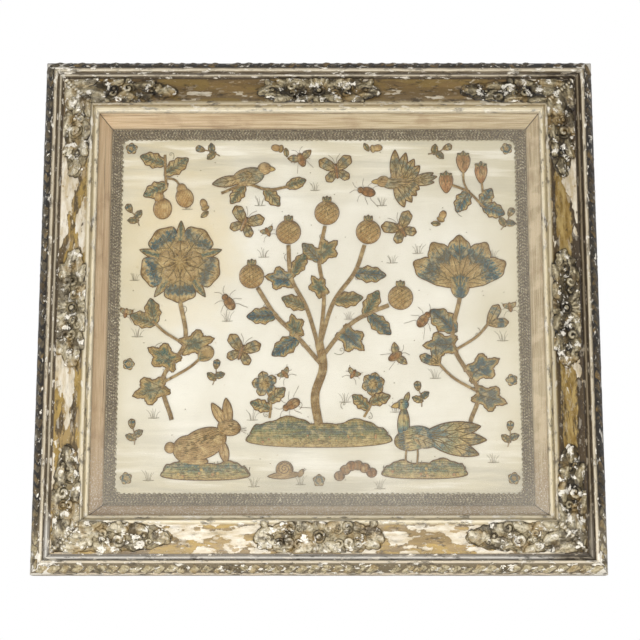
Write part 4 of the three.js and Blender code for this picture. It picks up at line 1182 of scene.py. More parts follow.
class Work:
    """The silk shapes and threads of one motif, gathered into one mesh."""

    def __init__(self, seed):
        self.corners, self.faces, self.lie, self.stitches, self.ages, self.silks = [], [], [], [], [], []
        self.count = 0
        self.chance = random.Random(seed)

    def add(self, places, faces, lie, stitches, silk_name):
        self.corners.append(places)
        self.faces += [tuple(i + self.count for i in face) for face in faces]
        self.lie.append(lie)
        self.stitches.append(stitches)
        self.ages.append(np.full(len(places), self.chance.random()))
        self.silks += [SILK_ORDER.index(silk_name)] * len(faces)
        self.count += len(places)

    def pad(self, form, x, y, long, wide, turn, rise, silk_name, edge="outline", veins=0, base=0.0, nap=0):
        around = 60 if form in ("vine", "hill") else 40 if long > 18 else 24
        rings = 7 if long > 12 else 5
        if form in ("leaf", "petal", "lobed", "scalloped"):
            shift = long / 2 - 2
        elif form == "vine":
            shift = long * 0.3
        else:
            shift = 0
        angle = np.linspace(0, 2 * np.pi, around, endpoint=False)
        rim_along, rim_across = outline_of(form, angle)
        rows, lie = [], []
        for ring in range(rings + 1):
            reach = math.sin(ring / rings * math.pi / 2)
            along, across = rim_along * reach, rim_across * reach
            high = crown(form, np.full(around, reach), along, across) * rise
            rows.append(np.stack([along * long / 2 + shift, across * wide / 2, high + base], 1))
            if form == "vine":
                lie.append(np.stack([np.abs(angle - np.pi) / np.pi, np.full(around, 0.5 + 0.5 * reach ** 2.2)], 1))
            else:
                lie.append(np.stack([(along + 1) / 2, (across + 1) / 2], 1))
        places = np.concatenate([rows[0][:1], *rows[1:], [[shift, 0, base - 0.02]]])
        lies = np.concatenate([lie[0][:1], *lie[1:], [[0.5, 0.5]]])
        faces = [(0, 1 + i, 1 + (i + 1) % around) for i in range(around)]
        for ring in range(rings - 1):
            start = 1 + ring * around
            for i in range(around):
                j = (i + 1) % around
                faces.append((start + i, start + around + i, start + around + j, start + j))
        last = 1 + (rings - 1) * around
        under = len(places) - 1
        faces += [(under, last + (i + 1) % around, last + i) for i in range(around)]
        cosine, sine = math.cos(math.radians(turn)), math.sin(math.radians(turn))

        def out(points):
            turned = points.copy()
            turned[:, 0] = x + points[:, 0] * cosine - points[:, 1] * sine
            turned[:, 1] = y + points[:, 0] * sine + points[:, 1] * cosine
            return turned

        self.add(out(places), faces, lies, places[:, :2].copy(), silk_name)
        if edge:
            rim = np.stack([rim_along * long / 2 * 0.985 + shift, rim_across * wide / 2 * 0.985,
                            np.full(around, base + min(0.9, rise * 0.3))], 1)
            self.line(out(np.concatenate([rim, rim[:1]])), 0.46 if long > 14 else 0.34, edge, 5)
        heading = np.arctan2(rim_across, rim_along)
        order = np.argsort(heading)
        distance = np.hypot(rim_along, rim_across)[order]
        heading = heading[order]

        def surface(along, across):
            far = np.interp(np.arctan2(across, along), heading, distance, period=2 * np.pi)
            reach = np.clip(np.hypot(along, across) / far, 0, 1)
            high = crown(form, reach, along, across) * rise
            return np.stack([along * long / 2 + shift, across * wide / 2, high + base + 0.12], 1)

        for _ in range(nap):
            away, where = self.chance.uniform(0.1, 0.86), self.chance.uniform(-math.pi, math.pi)
            far = np.interp(where, heading, distance, period=2 * np.pi)
            start = away * far * math.cos(where)
            across = away * far * math.sin(where)
            short = self.chance.uniform(1.6, 3.2) * 2 / long
            self.line(out(surface(np.array([start, start + short]), np.array([across, across * 0.97]))), 0.2, "vein", 3)
        if form == "vine" and veins:
            for lobe in (0, 72, -72, 144, -144):
                share = np.linspace(0, 0.84, 6)
                end_along, end_across = outline_of(form, np.array([math.radians(lobe)]))
                self.line(out(surface(-0.45 * (1 - share) + end_along[0] * share, end_across[0] * share + 1e-3)),
                          0.36, "vein", 4)
        elif veins:
            mid = np.linspace(-0.9, 0.8, 9)
            self.line(out(surface(mid, np.zeros(9) + 1e-3)), 0.45, "vein", 4)
            for index in range(veins):
                start = -0.65 + 1.15 * index / veins
                for hand in (1, -1):
                    share = np.linspace(0, 1, 4)
                    end_angle = math.acos(max(-0.7, min(0.9, start + 0.42)))
                    end_along, end_across = outline_of(form, np.array([end_angle]))
                    along = start + (end_along[0] * 0.86 - start) * share
                    across = hand * (0.02 + end_across[0] * 0.80 * share)
                    self.line(out(surface(along, across)), 0.36, "vein", 4)

    def line(self, points, radius, silk_name, sides=5, taper=1.0):
        """A round thread along a line."""
        points = np.asarray(points, float)
        heading = np.gradient(points, axis=0)
        heading /= np.maximum(np.linalg.norm(heading, axis=1), 1e-9)[:, None]
        sideways = np.cross(heading, [0, 0, 1.0])
        length = np.linalg.norm(sideways, axis=1)
        sideways[length < 1e-3] = (1, 0, 0)
        sideways /= np.maximum(np.linalg.norm(sideways, axis=1), 1e-9)[:, None]
        upward = np.cross(sideways, heading)
        count = len(points)
        thick = radius * (1 + (taper - 1) * np.linspace(0, 1, count))
        places, lie, stitches = [], [], []
        runs = np.concatenate([[0], np.cumsum(np.linalg.norm(np.diff(points, axis=0), axis=1))])
        for side in range(sides):
            angle = 2 * math.pi * side / sides
            places.append(points + thick[:, None] * (math.cos(angle) * sideways + math.sin(angle) * upward))
            lie.append(np.stack([np.linspace(0, 1, count), np.full(count, side / sides)], 1))
            stitches.append(np.stack([runs, np.full(count, side * radius)], 1))
        places = np.stack(places, 1).reshape(-1, 3)
        lie = np.stack(lie, 1).reshape(-1, 2)
        stitches = np.stack(stitches, 1).reshape(-1, 2)
        faces = []
        for ring in range(count - 1):
            for side in range(sides):
                a, b = ring * sides + side, ring * sides + (side + 1) % sides
                faces.append((a, a + sides, b + sides, b))
        faces.append(tuple(range(sides)))
        faces.append(tuple(reversed([(count - 1) * sides + side for side in range(sides)])))
        self.add(places, faces, lie, stitches, silk_name)

    def stem(self, points, width, silk_name="trunk", cords=3):
        """Couched cords laid side by side along a smooth line."""
        line = flowing(points, 26)
        heading = np.gradient(line, axis=0)
        heading /= np.linalg.norm(heading, axis=1)[:, None]
        sideways = np.stack([-heading[:, 1], heading[:, 0]], 1)
        cord = width / (cords + 1)
        for index in range(cords):
            offset = (index - (cords - 1) / 2) * cord
            high = cord * (1.1 if abs(index - (cords - 1) / 2) < 0.6 else 0.7)
            wrinkle_highlight = 0.12 * np.sin(np.arange(len(line)) * 2.1 + index)
            places = np.column_stack([line + sideways * offset, high + wrinkle_highlight])
            self.line(places, cord * 0.72, silk_name, 6)

    def tuft(self, x, y, size, strokes=5):
        """A tuft of grass in single long stitches on a short base line."""
        self.line([(x - size * 0.7, y, 0.3), (x, y - 0.5, 0.35), (x + size * 0.7, y + 0.2, 0.3)], 0.22, "grass", 3)
        for index in range(strokes):
            lean = (index - (strokes - 1) / 2) / strokes * 1.8 + self.chance.uniform(-0.15, 0.15)
            tall = size * self.chance.uniform(0.8, 1.3)
            foot = x + lean * size * 0.35
            self.line(np.column_stack([flowing([(foot, y), (foot + lean * tall * 0.25, y + tall * 0.6), (
                foot + lean * tall * 0.75, y + tall)], 7), np.full(7, 0.35)]), 0.22, "grass", 3, 0.6)

    def curl(self, x, y, size, turn, hand=1, silk_name="grass"):
        """A tendril: a single thread that winds up at its end."""
        share = np.linspace(0, 1, 26)
        heading = math.radians(turn) + hand * (share ** 1.6) * 2.6 * np.pi
        step = size * (1 - 0.75 * share) / 9
        across = x + np.cumsum(np.cos(heading) * step)
        upward = y + np.cumsum(np.sin(heading) * step)
        self.line(np.stack([across, upward, np.full(26, 0.4)], 1), 0.27, silk_name, 4, 0.7)

    def piece(self, name, x=0, y=0, turn=0, size=1, flip=False):
        places = np.concatenate(self.corners)
        mesh = bpy.data.meshes.new(name)
        places[:, :2] *= size
        if flip:
            places[:, 0] *= -1
            self.faces = [tuple(reversed(face)) for face in self.faces]
        cosine, sine = math.cos(math.radians(turn)), math.sin(math.radians(turn))
        placed_at = np.stack([x + places[:, 0] * cosine - places[:, 1] * sine,
                              y + places[:, 0] * sine + places[:, 1] * cosine, places[:, 2] + WORK_BASE], 1)
        mesh.from_pydata(placed_at.tolist(), [], self.faces)
        corner_vertices = np.zeros(len(mesh.loops), int)
        mesh.loops.foreach_get("vertex_index", corner_vertices)
        for map_name, rows in (("lie", self.lie), ("stitches", self.stitches)):
            layer = mesh.uv_layers.new(name=map_name)
            layer.data.foreach_set("uv", np.concatenate(rows)[corner_vertices].astype(np.float32).ravel())
        age = mesh.attributes.new("age", "FLOAT", "POINT")
        age.data.foreach_set("value", np.concatenate(self.ages).astype(np.float32))
        used = sorted(set(self.silks))
        for index in used:
            mesh.materials.append(SILKS[SILK_ORDER[index]])
        mesh.polygons.foreach_set("material_index", [used.index(index) for index in self.silks])
        mesh.polygons.foreach_set("use_smooth", [True] * len(mesh.polygons))
        mesh.update()
        piece = bpy.data.objects.new(name, mesh)
        bpy.context.scene.collection.objects.link(piece)
        return piece


def flowing(points, count):
    """A smooth line through the given points."""
    points = np.array(points, float)
    ends = np.vstack([2 * points[0] - points[1], points, 2 * points[-1] - points[-2]])
    rows = []
    for share in np.linspace(0, len(points) - 1, count):
        index = min(int(share), len(points) - 2)
        t = share - index
        a, b, c, d = ends[index:index + 4]
        rows.append(0.5 * ((2 * b) + (c - a) * t + (2 * a - 5 * b + 4 * c - d) * t ** 2
                           + (3 * b - a - 3 * c + d) * t ** 3))
    return np.array(rows)


def sewn(work, name, slot, *nodes, **place):
    piece = work.piece(name, **place)
    hang(piece, slot, *nodes)
    return piece


TREE_STEMS = [
    (9.5, [(0, -114), (-4, -84), (4, -56), (0, -30)]),
    (5.2, [(2, -52), (-22, -24), (-44, -2), (-62, 26)]),
    (5.0, [(1, -40), (-12, 4), (-28, 36), (-31, 70)]),
    (5.2, [(2, -46), (24, -18), (46, -2), (70, 8)]),
    (5.0, [(0, -36), (14, 10), (36, 42), (46, 70)]),
    (4.6, [(0, -36), (5, 16), (0, 56), (6, 90)]),
]
TREE_LEAVES = [
    (-21, -25, 32, 19, 215), (-22, -22, 26, 15, 105), (-43, -2, 30, 18, 183), (-13, 6, 27, 16, 158),
    (-28, 34, 32, 18, 172), (-26, 40, 26, 15, 60), (1, 54, 26, 15, 135), (0, 58, 30, 17, 42), (36, 41, 32, 18, -4),
    (15, 12, 30, 17, 8), (24, -19, 34, 19, -42), (46, -3, 30, 17, 62), (50, -2, 30, 17, -42), (4, 20, 26, 14, 122),
]
TREE_FRUITS = [(-68, 38), (-31, 84), (8, 104), (50, 84), (82, 16)]


def mound(work, x, y, long, wide, rise):
    """Hillocks one behind the other, with blades of grass along their tops."""
    work.pad("hill", x - long * 0.22, y + wide * 0.08, long * 0.5, wide * 0.9, 0, rise * 0.85, "mound", nap=30)
    work.pad("hill", x + long * 0.24, y + wide * 0.04, long * 0.46, wide * 0.84, 0, rise * 0.85, "mound", nap=30)
    work.pad("hill", x, y - wide * 0.06, long, wide * 0.8, 0, rise, "mound", nap=int(long))
    blades = int(long / 2.6)
    for index in range(blades):
        angle = math.pi * (0.06 + 0.88 * (index + work.chance.uniform(0.2, 0.8)) / blades)
        along, across = outline_of("hill", np.array([angle]))
        foot_x, foot_y = x + along[0] * long / 2 * 0.97, y - wide * 0.06 + across[0] * wide * 0.4 * 0.86
        lean = work.chance.uniform(-1.4, 1.4)
        tall = work.chance.uniform(2.2, 4.6)
        work.line([(foot_x, foot_y, rise * 0.45), (foot_x + lean, foot_y + tall, 1.0)], 0.3,
                  work.chance.choice(("vein", "grass", "outline")), 4, 0.5)
    for index in range(int(long / 9)):
        across = work.chance.uniform(-0.8, 0.8)
        place_y = y - wide * 0.06 + wide * 0.4 * work.chance.uniform(-0.25, 0.6) * math.sqrt(1 - across ** 2)
        work.pad("round", x + across * long / 2, place_y, 2.6, 2.6, 0, 1.2, work.chance.choice(("berry", "gold")),
                 edge=None, base=rise * 0.82)


def tree():
    work = Work("tree mound")
    mound(work, 0, -126, 146, 36, 4.5)
    sewn(work, "tree_mound_silk", "green_silk", "tree_mound")
    work = Work("tree")
    for width, points in TREE_STEMS:
        work.stem(points, width, "trunk", 5 if width > 8 else 3)
    for index, (x, y, long, wide, turn) in enumerate(TREE_LEAVES):
        form, wider = (("lobed", 1.05), ("vine", 1.45), ("lobed", 1.05))[index % 3]
        work.pad(form, x, y, long * 1.06, wide * wider, turn, 2.8, "leaf" if index % 2 else "bluegreen",
                 veins=4, nap=12)
    sewn(work, "tree_silk", "green_silk", "tree")
    for index, (x, y) in enumerate(TREE_FRUITS):
        work = Work(f"fruit {index}")
        work.pad("round", 0, 0, 25, 25, 80, 6.4, "fruit", nap=50)
        for slant in (35, 145):
            for offset in (-0.6, -0.3, 0.0, 0.3, 0.6):
                run = np.linspace(-0.9, 0.9, 9) * math.sqrt(1 - offset ** 2)
                turned = math.radians(slant)
                across = run * math.cos(turned) - offset * math.sin(turned)
                upward = run * math.sin(turned) + offset * math.cos(turned)
                high = 6.4 * np.sqrt(1 - np.hypot(across, upward) ** 2.6) + 0.12
                work.line(np.stack([12.5 * across, 12.5 * upward, high], 1), 0.3, "vein" if slant < 90 else "gold", 4)
        for turn in (60, 90, 120):
            work.pad("leaf", 0, 10, 10, 5, turn, 3, "leaf")
        sewn(work, f"fruit_{index + 1}_silk", "gold_silk", f"fruit_{index + 1}", x=x, y=y)


ROSE = {"x": -140, "y": 52}
ROSE_REACH = 41


def ring_of(work, count, start, radius, form, long, wide, rise, silk_name, veins=0, nap=0):
    for index in range(count):
        turn = start + 360 * index / count
        angle = math.radians(turn)
        work.pad(form, radius * math.cos(angle), radius * math.sin(angle), long, wide, turn, rise, silk_name,
                 veins=veins, nap=nap)


def rose():
    work = Work("rose")
    ring_of(work, 5, -54, 6, "leaf", 40, 10, 2.0, "leaf")
    ring_of(work, 5, -90, 8, "scalloped", ROSE_REACH - 6, 42, 3.4, "petal", veins=3, nap=40)
    ring_of(work, 5, -54, 3, "scalloped", 22, 22, 5, "inner", veins=2)
    work.pad("round", 0, 0, 17, 17, 0, 6.8, "centre")
    for index in range(12):
        angle = index * math.pi / 6
        work.line([(3 * math.cos(angle), 3 * math.sin(angle), 6.9), (7.4 * math.cos(angle), 7.4 * math.sin(angle), 5.2),
                   (10.5 * math.cos(angle), 10.5 * math.sin(angle), 5.3)], 0.4, "gold", 4)
    sewn(work, "rose_bloom_silk", "gold_silk", "rose_bloom", **ROSE)
    work = Work("rose spray")
    work.stem([(-6, -160), (-16, -120), (6, -82), (0, -38)], 5.2, "trunk", 3)
    work.stem([(-14, -122), (10, -108), (24, -96)], 3.6, "trunk", 2)
    work.stem([(6, -84), (-14, -72), (-27, -60)], 3.6, "trunk", 2)
    for x, y, long, wide, turn in ((-14, -126, 38, 24, 198), (-4, -103, 36, 22, 150), (5, -86, 36, 22, 15),
                                   (-25, -63, 26, 14, 100), (-25, -63, 26, 14, 160)):
        work.pad("vine" if long > 30 else "lobed", x, y, long * 1.1, wide * 1.3, turn, 2.8, "leaf", veins=4, nap=14)
    work.pad("round", 27, -93, 17, 15, 40, 5.4, "inner")
    for turn in (10, 40, 70):
        work.pad("leaf", 21, -99, 14, 6, turn, 5.4, "leaf")
    sewn(work, "rose_spray_silk", "green_silk", "rose_spray", **ROSE)


CARNATION = {"x": 142, "y": 28}


def carnation():
    work = Work("carnation")
    for lean in (-62, 62, -32, 32, 0):
        work.pad("scalloped", 0, 0, 54, 30, 90 - lean, 4.2, "petal", veins=4, nap=40)
    for lean in (-46, -16, 16, 46):
        work.pad("scalloped", 0, 4, 32, 14, 90 - lean, 5.6, "inner", veins=1)
    work.pad("round", 0, 0, 26, 19, 90, 6, "bluegreen", veins=0)
    for lean in (-24, 0, 24):
        work.pad("leaf", 0, -8, 24, 8, 90 - lean, 6.6, "leaf")
    sewn(work, "carnation_bloom_silk", "gold_silk", "carnation_bloom", **CARNATION)
    work = Work("carnation spray")
    work.stem([(8, -138), (16, -106), (-8, -60), (0, -10)], 5.2, "trunk", 3)
    work.stem([(16, -108), (-8, -94), (-24, -78)], 3.6, "trunk", 2)
    work.stem([(-6, -66), (16, -52), (30, -36)], 3.6, "trunk", 2)
    for x, y, long, wide, turn in ((15, -110, 36, 22, -18), (9, -90, 38, 23, 28), (-7, -60, 36, 22, 182),
                                   (-5, -46, 32, 19, 140)):
        work.pad("vine" if long > 34 else "lobed", x, y, long * 1.1, wide * 1.3, turn, 2.8, "bluegreen", veins=4,
                 nap=14)
    for x, y, long, wide, turn in ((-23, -80, 22, 13, 100), (-23, -80, 22, 12, 155), (28, -39, 24, 14, 62),
                                   (28, -39, 22, 12, 5)):
        work.pad("scalloped", x, y, long, wide, turn, 3.8, "petal", veins=1)
    sewn(work, "carnation_spray_silk", "green_silk", "carnation_spray", **CARNATION)


HARE = {"x": -112, "y": -129, "size": 1.35}
PEACOCK = {"x": 104, "y": -129, "size": 1.3, "flip": True}


def beasts():
    for name, place in (("hare_mound", HARE), ("peacock_mound", PEACOCK)):
        work = Work(name)
        mound(work, 0, -24, 66, 18, 3.4)
        sewn(work, f"{name}_silk", "green_silk", name, **place)
    work = Work("hare")
    work.pad("leaf", 14, 12, 21, 7, 122, 3.4, "fur")
    work.pad("round", -26, -5, 8, 8, 0, 4, "fur")
    work.pad("round", -8, -15, 20, 6, 0, 3.4, "fur")
    work.pad("leaf", 12, -1, 18, 7, -78, 3.6, "fur")
    work.pad("round", -2, -2, 36, 22, 22, 6, "fur", nap=90)
    work.pad("round", -13, -6, 22, 20, 0, 6.6, "fur", nap=60)
    work.pad("round", 17, 10, 17, 12, -10, 5.6, "fur", nap=30)
    work.pad("leaf", 17, 13, 21, 7, 98, 3.6, "fur")
    work.pad("round", 20, 12, 2.2, 2.2, 0, 6.0, "outline", edge=None)
    for turn in (-20, 0, 20):
        angle = math.radians(turn - 5)
        work.line([(24, 8, 3.6), (24 + 6 * math.cos(angle), 8 + 6 * math.sin(angle), 2.5)], 0.2, "outline", 3)
    sewn(work, "hare_silk", "gold_silk", "hare", **HARE)
    work = Work("peacock")
    for x, y, long, wide, turn, rise in ((0, 3, 46, 13, 198, 3.2), (0, 5, 46, 13, 172, 3.4), (0, 4, 50, 13, 184, 3.6)):
        work.pad("leaf", x, y, long, wide, turn, rise, "plume", veins=3)
    work.stem([(6, 0), (5, -10), (6, -20)], 2.2, "trunk", 1)
    work.stem([(12, 0), (14, -10), (14, -20)], 2.2, "trunk", 1)
    work.pad("round", 8, 2, 30, 18, -14, 6, "plume", nap=60)
    work.pad("leaf", 16, 1, 28, 9, 92, 4.4, "plume")
    work.pad("round", 16, 28, 9, 8, 0, 4.4, "plume")
    work.pad("leaf", 18, 28, 9, 4, -15, 2.6, "gold")
    work.pad("leaf", 14, 30, 10, 4, 110, 2.2, "plume")
    work.pad("leaf", 12, 4, 24, 11, 200, 7, "feather", veins=3)
    work.pad("round", 17, 29, 1.8, 1.8, 0, 5.0, "outline", edge=None)
    sewn(work, "peacock_silk", "blue_silk", "peacock", **PEACOCK)


def birds():
    work = Work("perched bird")
    work.stem([(-22, -14), (-2, -6.5), (16, -11), (34, -8)], 3, "trunk", 2)
    for x, y, long, wide, turn in ((14, -11, 20, 12, -50), (-4, -8, 20, 12, 235), (32, -8, 18, 11, 20)):
        work.pad("lobed", x, y, long, wide, turn, 2.6, "leaf", veins=3)
    work.pad("leaf", -6, -2, 26, 9, 190, 2.8, "feather", veins=2)
    work.pad("round", 0, 0, 26, 15, 12, 5.2, "feather", nap=50)
    work.pad("round", 13, 7, 11, 10, 0, 5, "fur")
    work.pad("leaf", 16, 7, 8, 4, -8, 2.4, "gold")
    work.pad("leaf", 6, 2, 22, 10, 196, 6.4, "wing", veins=3)
    work.pad("round", 14.5, 8, 1.7, 1.7, 0, 5.5, "outline", edge=None)
    sewn(work, "perched_bird_silk", "gold_silk", "perched_bird", x=-72, y=142, size=1.25)
    work = Work("flying bird")
    for turn, long in ((168, 24), (178, 26), (190, 23)):
        work.pad("leaf", -7, -1, long, 6, turn, 2.6, "feather", veins=2)
    for start, hand in ((84, 1), (276, -1)):
        for index, long in enumerate((30, 28, 24, 20)):
            reach = long if hand > 0 else long * 0.74
            work.pad("leaf", 5 - 3 * index, hand * (2 - 0.4 * index), reach, 8.5, start + hand * (16 + 14 * index),
                     3.0, "wing", veins=2)
        work.pad("leaf", 5, hand * 2, 16, 9, start + hand * 26, 4.2, "feather", nap=16)
    work.pad("petal", -11, -2, 30, 12.5, 8, 5, "feather", nap=50)
    work.pad("round", 15, 3.5, 11, 9.5, 0, 4.6, "fur", nap=10)
    work.pad("leaf", 18, 4, 9, 4, 8, 2.4, "gold")
    work.pad("round", 16.5, 5, 1.9, 1.9, 0, 5.1, "outline", edge=None)
    sewn(work, "flying_bird_silk", "gold_silk", "flying_bird", x=84, y=136, size=1.2, turn=10, flip=True)


def sprigs():
    work = Work("pears")
    work.stem([(3, 30), (0, 12), (-2, -2)], 3.2, "trunk", 2)
    work.stem([(-1, 2), (-6, -4), (-9, -10)], 2.6, "trunk", 2)
    work.stem([(0, 8), (8, 4), (12, -6)], 2.6, "trunk", 2)
    for x, y, long, wide, turn in ((1, 22, 26, 16, 150), (0, 12, 28, 16, 24), (-1, 2, 26, 16, 196)):
        work.pad("lobed", x, y, long, wide, turn, 2.8, "leaf", veins=3)
    for x, y, long, wide, turn, rise in ((-10, -9, 11, 9, 80, 4.6), (-9, -20, 20, 17, 80, 5.8),
                                         (12, -5, 10, 9, 100, 4.6), (13, -14, 19, 16, 100, 5.8)):
        work.pad("round", x, y, long, wide, turn, rise, "fruit")
    sewn(work, "pear_sprig_silk", "gold_silk", "pear_sprig", x=-154, y=132, size=1.1, turn=12)
    work = Work("strawberries")
    work.stem([(-24, -22), (-12, -12), (0, 0), (16, 7)], 3, "trunk", 2)
    work.stem([(0, 0), (4, 10), (4, 22)], 2.6, "trunk", 2)
    work.stem([(-12, -12), (-13, 0), (-12, 14)], 2.6, "trunk", 2)
    for x, y, long, wide, turn in ((-14, -14, 22, 16, 200), (-12, -12, 20, 14, 122), (0, 0, 24, 16, -60)):
        work.pad("lobed", x, y, long, wide, turn, 2.8, "bluegreen", veins=3)
    for x, y, long, wide in ((20, 8, 15, 17), (4, 27, 15, 17), (-12, 17, 13, 15)):
        work.pad("petal", x, y - 7, 19, wide * 0.95, 90, 5.4, "berry", nap=36)
        for turn in (40, 90, 140):
            work.pad("leaf", x, y + 5, 9, 4.5, turn, 4.4, "leaf")
    sewn(work, "strawberry_sprig_silk", "gold_silk", "strawberry_sprig", x=152, y=126, size=1.12, flip=True)
    for name, petals, reach, place in (
            ("pansy_sprig", 5, 13, {"x": -54, "y": -72, "turn": 12, "size": 1.15}),
            ("daisy_sprig", 6, 12, {"x": 54, "y": -72, "turn": -12, "size": 1.15})):
        work = Work(name)
        work.stem([(0, -4), (2, -16), (-2, -30)], 2.8, "trunk", 2)
        for x, y, turn in ((0, -22, 150), (1, -16, 30)):
            work.pad("lobed", x, y, 20, 12, turn, 2.6, "leaf", veins=3)
        ring_of(work, petals, 90, 0, "scalloped", reach, reach * 0.85, 3, "petal", veins=1)
        work.pad("round", 0, 0, reach * 0.6, reach * 0.6, 0, 4.6, "centre")
        sewn(work, f"{name}_silk", "gold_silk", name, **place)


def legs(work, pairs, reach, start=-4, step=4):
    """Long bent legs, each one hair-fine stitch after another."""
    for index in range(pairs):
        y = start + index * step
        spread = index - (pairs - 1) / 2
        for hand in (1, -1):
            knee = (hand * reach * 0.8, y + 1.5 + spread * 2)
            line = flowing([(hand * 2, y), knee, (hand * reach * 1.25, y - 1 + spread * 5),
                            (hand * reach * 1.6, y - 3 + spread * 7)], 9)
            work.line(np.column_stack([line, np.linspace(0.8, 0.3, 9)]), 0.2, "outline", 3)


def feelers(work, y, reach):
    for hand in (1, -1):
        line = flowing([(hand * 0.8, y), (hand * 2.0, y + reach * 0.9), (hand * 6, y + reach * 1.6)], 7)
        work.line(np.column_stack([line, np.linspace(1.2, 0.4, 7)]), 0.2, "outline", 3)


BUTTERFLIES = [(18, 148, 8), (-76, 92, -24), (84, 86, 30), (-78, -40, -18)]
BEETLES = [(-90, 10, 35), (104, -8, -40), (50, 126, 75), (-26, -92, 120)]
BEES = [(-18, 160, 20), (76, -44, -60)]


def insects():
    for index, (x, y, turn) in enumerate(BUTTERFLIES):
        work = Work(f"butterfly {index}")
        for row in ((1, 2, 21, 15, 38, 2.4), (-1, 2, 21, 15, 142, 2.4), (1, 0, 16, 12, -42, 2.2),
                    (-1, 0, 16, 12, 222, 2.2)):
            work.pad("scalloped", *row, "wing", veins=2)
        work.pad("round", 0, 0, 16, 4, 90, 4, "insect")
        feelers(work, 7, 7)
        sewn(work, f"butterfly_{index + 1}_silk", "gold_silk", f"butterfly_{index + 1}", x=x, y=y, turn=turn)
    for index, (x, y, turn) in enumerate(BEETLES):
        work = Work(f"beetle {index}")
        legs(work, 3, 8)
        work.pad("round", 0, 0, 15, 9.5, 90, 4, "insect")
        work.pad("round", 0, 8, 6.5, 5.6, 0, 3.2, "insect")
        feelers(work, 10, 5)
        work.line([(0, 5, 4.0), (0, 0, 4.2), (0, -6, 3.4)], 0.25, "outline", 4)
        sewn(work, f"beetle_{index + 1}_silk", "brown_silk", f"beetle_{index + 1}", x=x, y=y, turn=turn)
    for index, (x, y, turn) in enumerate(BEES):
        work = Work(f"bee {index}")
        legs(work, 3, 5.5, -2, 3)
        work.pad("leaf", 1, 1, 15, 7, 25, 2.4, "wing", veins=1)
        work.pad("leaf", -1, 1, 15, 7, 155, 2.4, "wing", veins=1)
        work.pad("round", 0, 0, 15, 7.5, 90, 4, "insect")
        feelers(work, 7, 4)
        sewn(work, f"bee_{index + 1}_silk", "brown_silk", f"bee_{index + 1}", x=x, y=y, turn=turn)
    work = Work("grub")
    for index in range(6):
        work.pad("round", 6.4 * (index - 2.5), 9 * math.sin(math.pi * index / 5), 10.5, 9.5, 0, 4.2, "insect")
    sewn(work, "grub_silk", "brown_silk", "grub", x=36, y=-162, turn=6)
    work = Work("snail")
    work.pad("leaf", -15, -4, 34, 7, 4, 3.2, "fur")
    work.pad("leaf", 15, -3, 9, 5, 60, 2.6, "fur")
    work.pad("round", 0, 3, 17, 16, 0, 5.6, "fruit")
    curl = np.linspace(0, 4.2 * np.pi, 40)
    reach = 7.0 * (1 - curl / curl[-1] * 0.9)
    work.line(np.stack([reach * np.cos(curl), 3 + reach * np.sin(curl) * 0.95,
                        5.6 * np.sqrt(1 - (reach / 8.6) ** 2.6) + 0.1], 1), 0.4, "outline", 4)
    for hand in (0, 1):
        work.line([(17, -1, 2.2), (20 + hand * 1.5, 4 - hand, 1.2)], 0.25, "outline", 4)
    sewn(work, "snail_silk", "gold_silk", "snail", x=-34, y=-160)


TUFTS = [(-182, -24, 8), (26, -90, 8), (116, -66, 8), (184, -28, 8), (-66, -108, 8), (76, -100, 8),
         (-164, -106, 8), (-134, 108, 8), (-56, 58, 8), (74, 52, 8), (-92, -8, 8), (30, -6, 7), (-22, -18, 6),
         (172, -150, 8), (152, -124, 7), (-18, -172, 7), (60, -176, 8), (-64, -174, 8), (-168, -168, 8), (100, 62, 8),
         (-4, 128, 7), (176, 58, 7), (-60, 112, 8), (64, 112, 7), (-186, 34, 7)]


# x, y, size, turn, hand
CURLS = [
    (-46, 4, 12, 120, 1), (-30, 52, 11, 150, -1), (4, 72, 11, 60, 1), (30, 34, 12, 60, -1), (60, 6, 12, 100, 1),
    (-8, -34, 12, 200, -1), (14, -40, 13, -30, 1), (-156, -30, 13, 190, 1), (-134, -26, 12, -20, -1),
    (-138, -2, 11, 30, 1), (152, -76, 13, 20, 1), (134, -32, 12, 160, 1), (158, -14, 11, -40, -1),
    (-92, 138, 10, 200, 1), (-34, 134, 9, 20, -1), (146, 100, 10, 160, -1), (-150, 160, 9, 60, 1),
    (-52, -98, 8, 220, 1), (50, -100, 8, -40, -1), (-20, -98, 9, 40, 1), (24, -98, 9, 130, -1),
]


def ground_stitches():
    """Tufts of grass, tendrils and single dots sewn between the motifs."""
    work = Work("tufts")
    for row in CURLS:
        work.curl(*row)
    for x, y, size in TUFTS:
        work.tuft(x, y, size)
    chance = random.Random("dots")
    for _ in range(70):
        x, y = chance.uniform(-190, 190), chance.uniform(-168, 168)
        work.line([(x - 0.5, y, 0.15), (x, y, 0.3), (x + 0.5, y, 0.15)], 0.32, "vein", 4)
    piece = work.piece("ground_stitches")
    return hang(piece, "brown_silk")


# x, y, turn, kind
SMALL_SPRIGS = [
    (-184, -122, 8, "sprig"), (-190, -52, -15, "flower"), (192, -68, 15, "flower"), (188, -124, -8, "sprig"),
    (192, 6, 10, "fly"), (-194, 0, -12, "fly"), (-104, -62, -10, "sprig"), (100, -84, 10, "sprig"),
    (-192, 172, 0, "flower"), (192, 172, 20, "flower"), (-112, 168, 70, "sprig"), (122, 170, -70, "sprig"),
    (-116, 110, 20, "acorn"), (124, 98, -25, "acorn"), (-190, -166, 10, "flower"), (192, -166, -10, "flower"),
    (0, -168, 0, "flower"), (-52, 84, 25, "fly"), (34, -62, -30, "fly"), (-34, -62, 40, "fly"),
    (-188, 100, 30, "sprig"), (190, 96, -30, "sprig"), (-40, 172, 80, "acorn"), (56, 172, -80, "acorn"),
]


